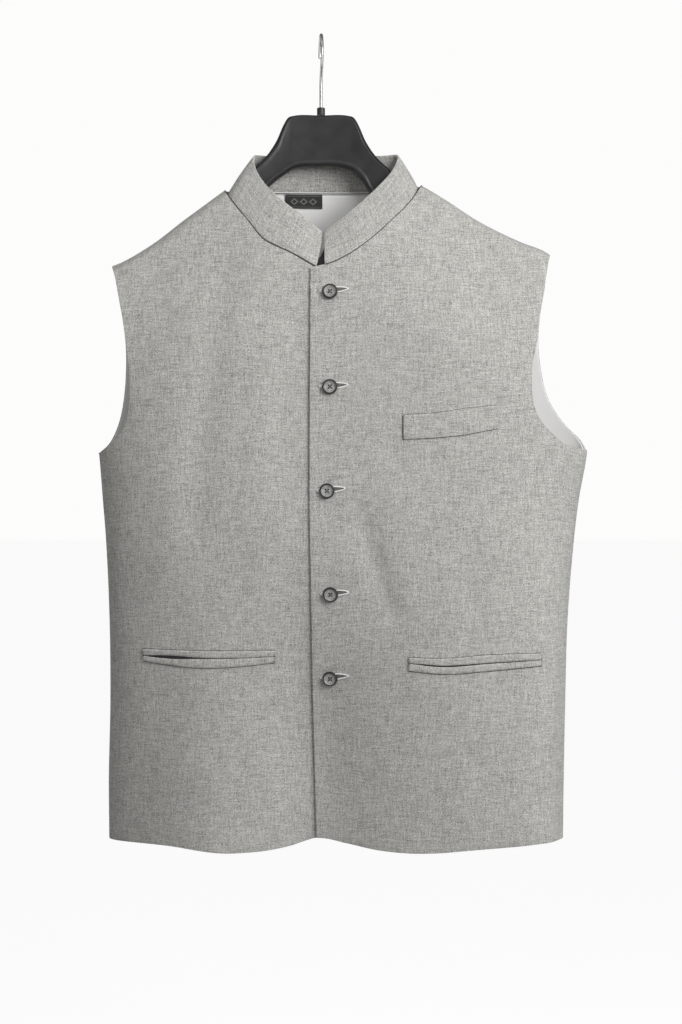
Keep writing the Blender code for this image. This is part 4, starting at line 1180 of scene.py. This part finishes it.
def make_label():
    """A woven tab on the lining below the back neck seam, with a pale line along its top and bottom."""
    x, z = np.meshgrid(np.linspace(*LABEL_X, 40), np.linspace(*LABEL_Z, 16))
    y = back_y(x, z) - (WALL + LINING_GAP + LINING_WALL + LINING_GAP) * LABEL_OFF
    grid = stack(np.stack([x, z], -1), y)
    places = np.stack([x - LABEL_X[0], z - LABEL_Z[0]], -1)
    return shell("neck_label_tape", grid, LABEL_WALL, [LABEL], "label_weave", ["neck_label"], places)


MELANGE = melange_look()
SATIN = satin_look()
# Painted shade: near-black sheets in the pocket mouths and the collar's gap, dark cords in the seams, and
# dark sheets in the buttonhole slits
PAINTED_SHADE = plain_cloth_look("pocket_painted_shade", (0.010, 0.010, 0.010), (0.030, 0.029, 0.028), 0.0008, 0.95)
SEAM_SHADE = plain_cloth_look("seam_shade", (0.055, 0.054, 0.051), (0.11, 0.108, 0.103), 0.0004, 0.95)
SLIT_SHADE = plain_cloth_look("buttonhole_dark", (0.10, 0.10, 0.095), (0.20, 0.195, 0.19), 0.0006, 0.95)
DARK_THREAD = plain_cloth_look("dark_thread", (0.030, 0.029, 0.028), (0.070, 0.068, 0.066), 0.0003, 0.8)
WHITE_THREAD = plain_cloth_look("white_thread", (0.88, 0.88, 0.86), (0.96, 0.96, 0.94), 0.0003, 0.7)
LABEL = label_look()
BUTTON = button_look()
MOULDED = moulded_look("hanger_plastic", 0.42)
FERRULE = moulded_look("ferrule_plastic", 0.35)
STEEL = steel_look()

for side, way in (("left", 1.0), ("right", -1.0)):
    grid = front_panel(side)
    shell("front_" + side + "_cloth", grid, WALL, [MELANGE, SATIN], "melange_cloth",
                         ["front_" + side], front_places(grid), way)
BACK = back_panel()
shell("back_cloth", BACK, WALL, [MELANGE, SATIN], "melange_cloth", ["back"],
                       back_places(BACK), -1.0)
LINING = lining_panel(BACK)
shell("back_lining_satin", LINING, LINING_WALL, [SATIN], "satin_lining", ["back_lining"],
                         back_places(LINING), -1.0)
COLLAR_GRID = collar_panel()
middle = COLLAR_GRID - normals(COLLAR_GRID) * COLLAR_WALL / 2.0
shell("collar_cloth", middle, COLLAR_WALL, [MELANGE], "melange_cloth", ["collar"],
                         grid_lengths(COLLAR_GRID) + COLLAR_SHIFT, -1.0)
make_collar_gap(COLLAR_GRID)
# Painted shadow in the collar's seam: dark cords along both front necklines
for side, line in (("right", NECK_RIGHT), ("left", NECK_LEFT)):
    x, z = spaced(dense(line), steps(SEAM_STEPS)).T
    sink = -LAP_IN * smooth(x, *LAP_FADE) * (side == "right")
    seam_shade_line("collar_seam_shade_" + side, [(x, z + 0.0001, sink + SEAM_RISE)], SEAM_THIN)
# Painted shadow in the inner back neck seam: a dark cord on the lining just below it
run = spaced(dense(NECK_BACK), np.linspace(0.02, 0.98, SEAM_STEPS + 1))
inner = stack(run, back_y(run[:, 0], run[:, 1]) - WALL - LINING_GAP - LINING_WALL - SEAM_RISE)
points, faces, _ = tube(inner - (0.0, 0.0, NECK_SEAM_DROP), SEAM_THIN, 8)
piece("neck_seam_shade_inner", points, faces, [SEAM_SHADE], "melange_cloth")
make_welt()
for side in ("right", "left"):
    for name, made in zip(("upper", "lower"), make_jets(side)):
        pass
for number, (x, z) in enumerate(BUTTONS, 1):
    make_button(number, x, z)
    make_buttonhole(number, x, z)
make_label()
make_hanger()
make_hook()
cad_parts["hanger_ferrule"].material_slots[0].material = FERRULE

# Floor, light and camera
floor_look = Look("pale_floor", 0.9)
floor_look.colour((FLOOR_TONE, FLOOR_TONE, FLOOR_TONE, 1.0))
floor_look.put(floor_look.shader.inputs["Emission Color"], (1.0, 1.0, 1.0, 1.0))
floor_look.put(floor_look.shader.inputs["Emission Strength"], FLOOR_GLOW)
mesh = bpy.data.meshes.new("floor")
corners = ((-1.0, -1.0), (1.0, -1.0), (1.0, 1.0), (-1.0, 1.0))
mesh.from_pydata([(a * FLOOR_REACH, b * FLOOR_REACH, FLOOR_Z) for a, b in corners], [], [(0, 1, 2, 3)])
mesh.materials.append(floor_look.material)
floor = bpy.data.objects.new("floor", mesh)
bpy.context.scene.collection.objects.link(floor)
floor.visible_diffuse = False

world = bpy.data.worlds.new("studio")
bpy.context.scene.world = world
world.use_nodes = True
nodes, links = world.node_tree.nodes, world.node_tree.links
seen = nodes.new("ShaderNodeLightPath")
level = nodes.new("ShaderNodeMix")
level.data_type = "FLOAT"
level.inputs[2].default_value = AMBIENT
level.inputs[3].default_value = PAPER
links.new(seen.outputs["Is Camera Ray"], level.inputs[0])
links.new(level.outputs[0], nodes["Background"].inputs["Strength"])
nodes["Background"].inputs["Color"].default_value = (1.0, 1.0, 0.995, 1.0)


def softbox(name, place, aim, wide, power):
    """A square area light turned to face a point."""
    lamp = bpy.data.lights.new(name, "AREA")
    lamp.shape = "SQUARE"
    lamp.size = wide
    lamp.energy = power
    light = bpy.data.objects.new(name, lamp)
    light.location = place
    way = unit(np.subtract(aim, place))
    light.rotation_mode = "XYZ"
    light.rotation_euler = (math.acos(-way[2]), 0.0, math.atan2(way[1], way[0]) - math.pi / 2.0)
    bpy.context.scene.collection.objects.link(light)


for lamp in LAMPS:
    softbox(*lamp)

camera = bpy.data.objects.new("camera", bpy.data.cameras.new("camera"))
bpy.context.scene.collection.objects.link(camera)
camera.location = CAMERA_PLACE
camera.rotation_euler = (math.pi / 2.0, 0.0, 0.0)
camera.data.lens = CAMERA_LENS
bpy.context.scene.camera = camera
bpy.context.scene.view_settings.view_transform = "Standard"
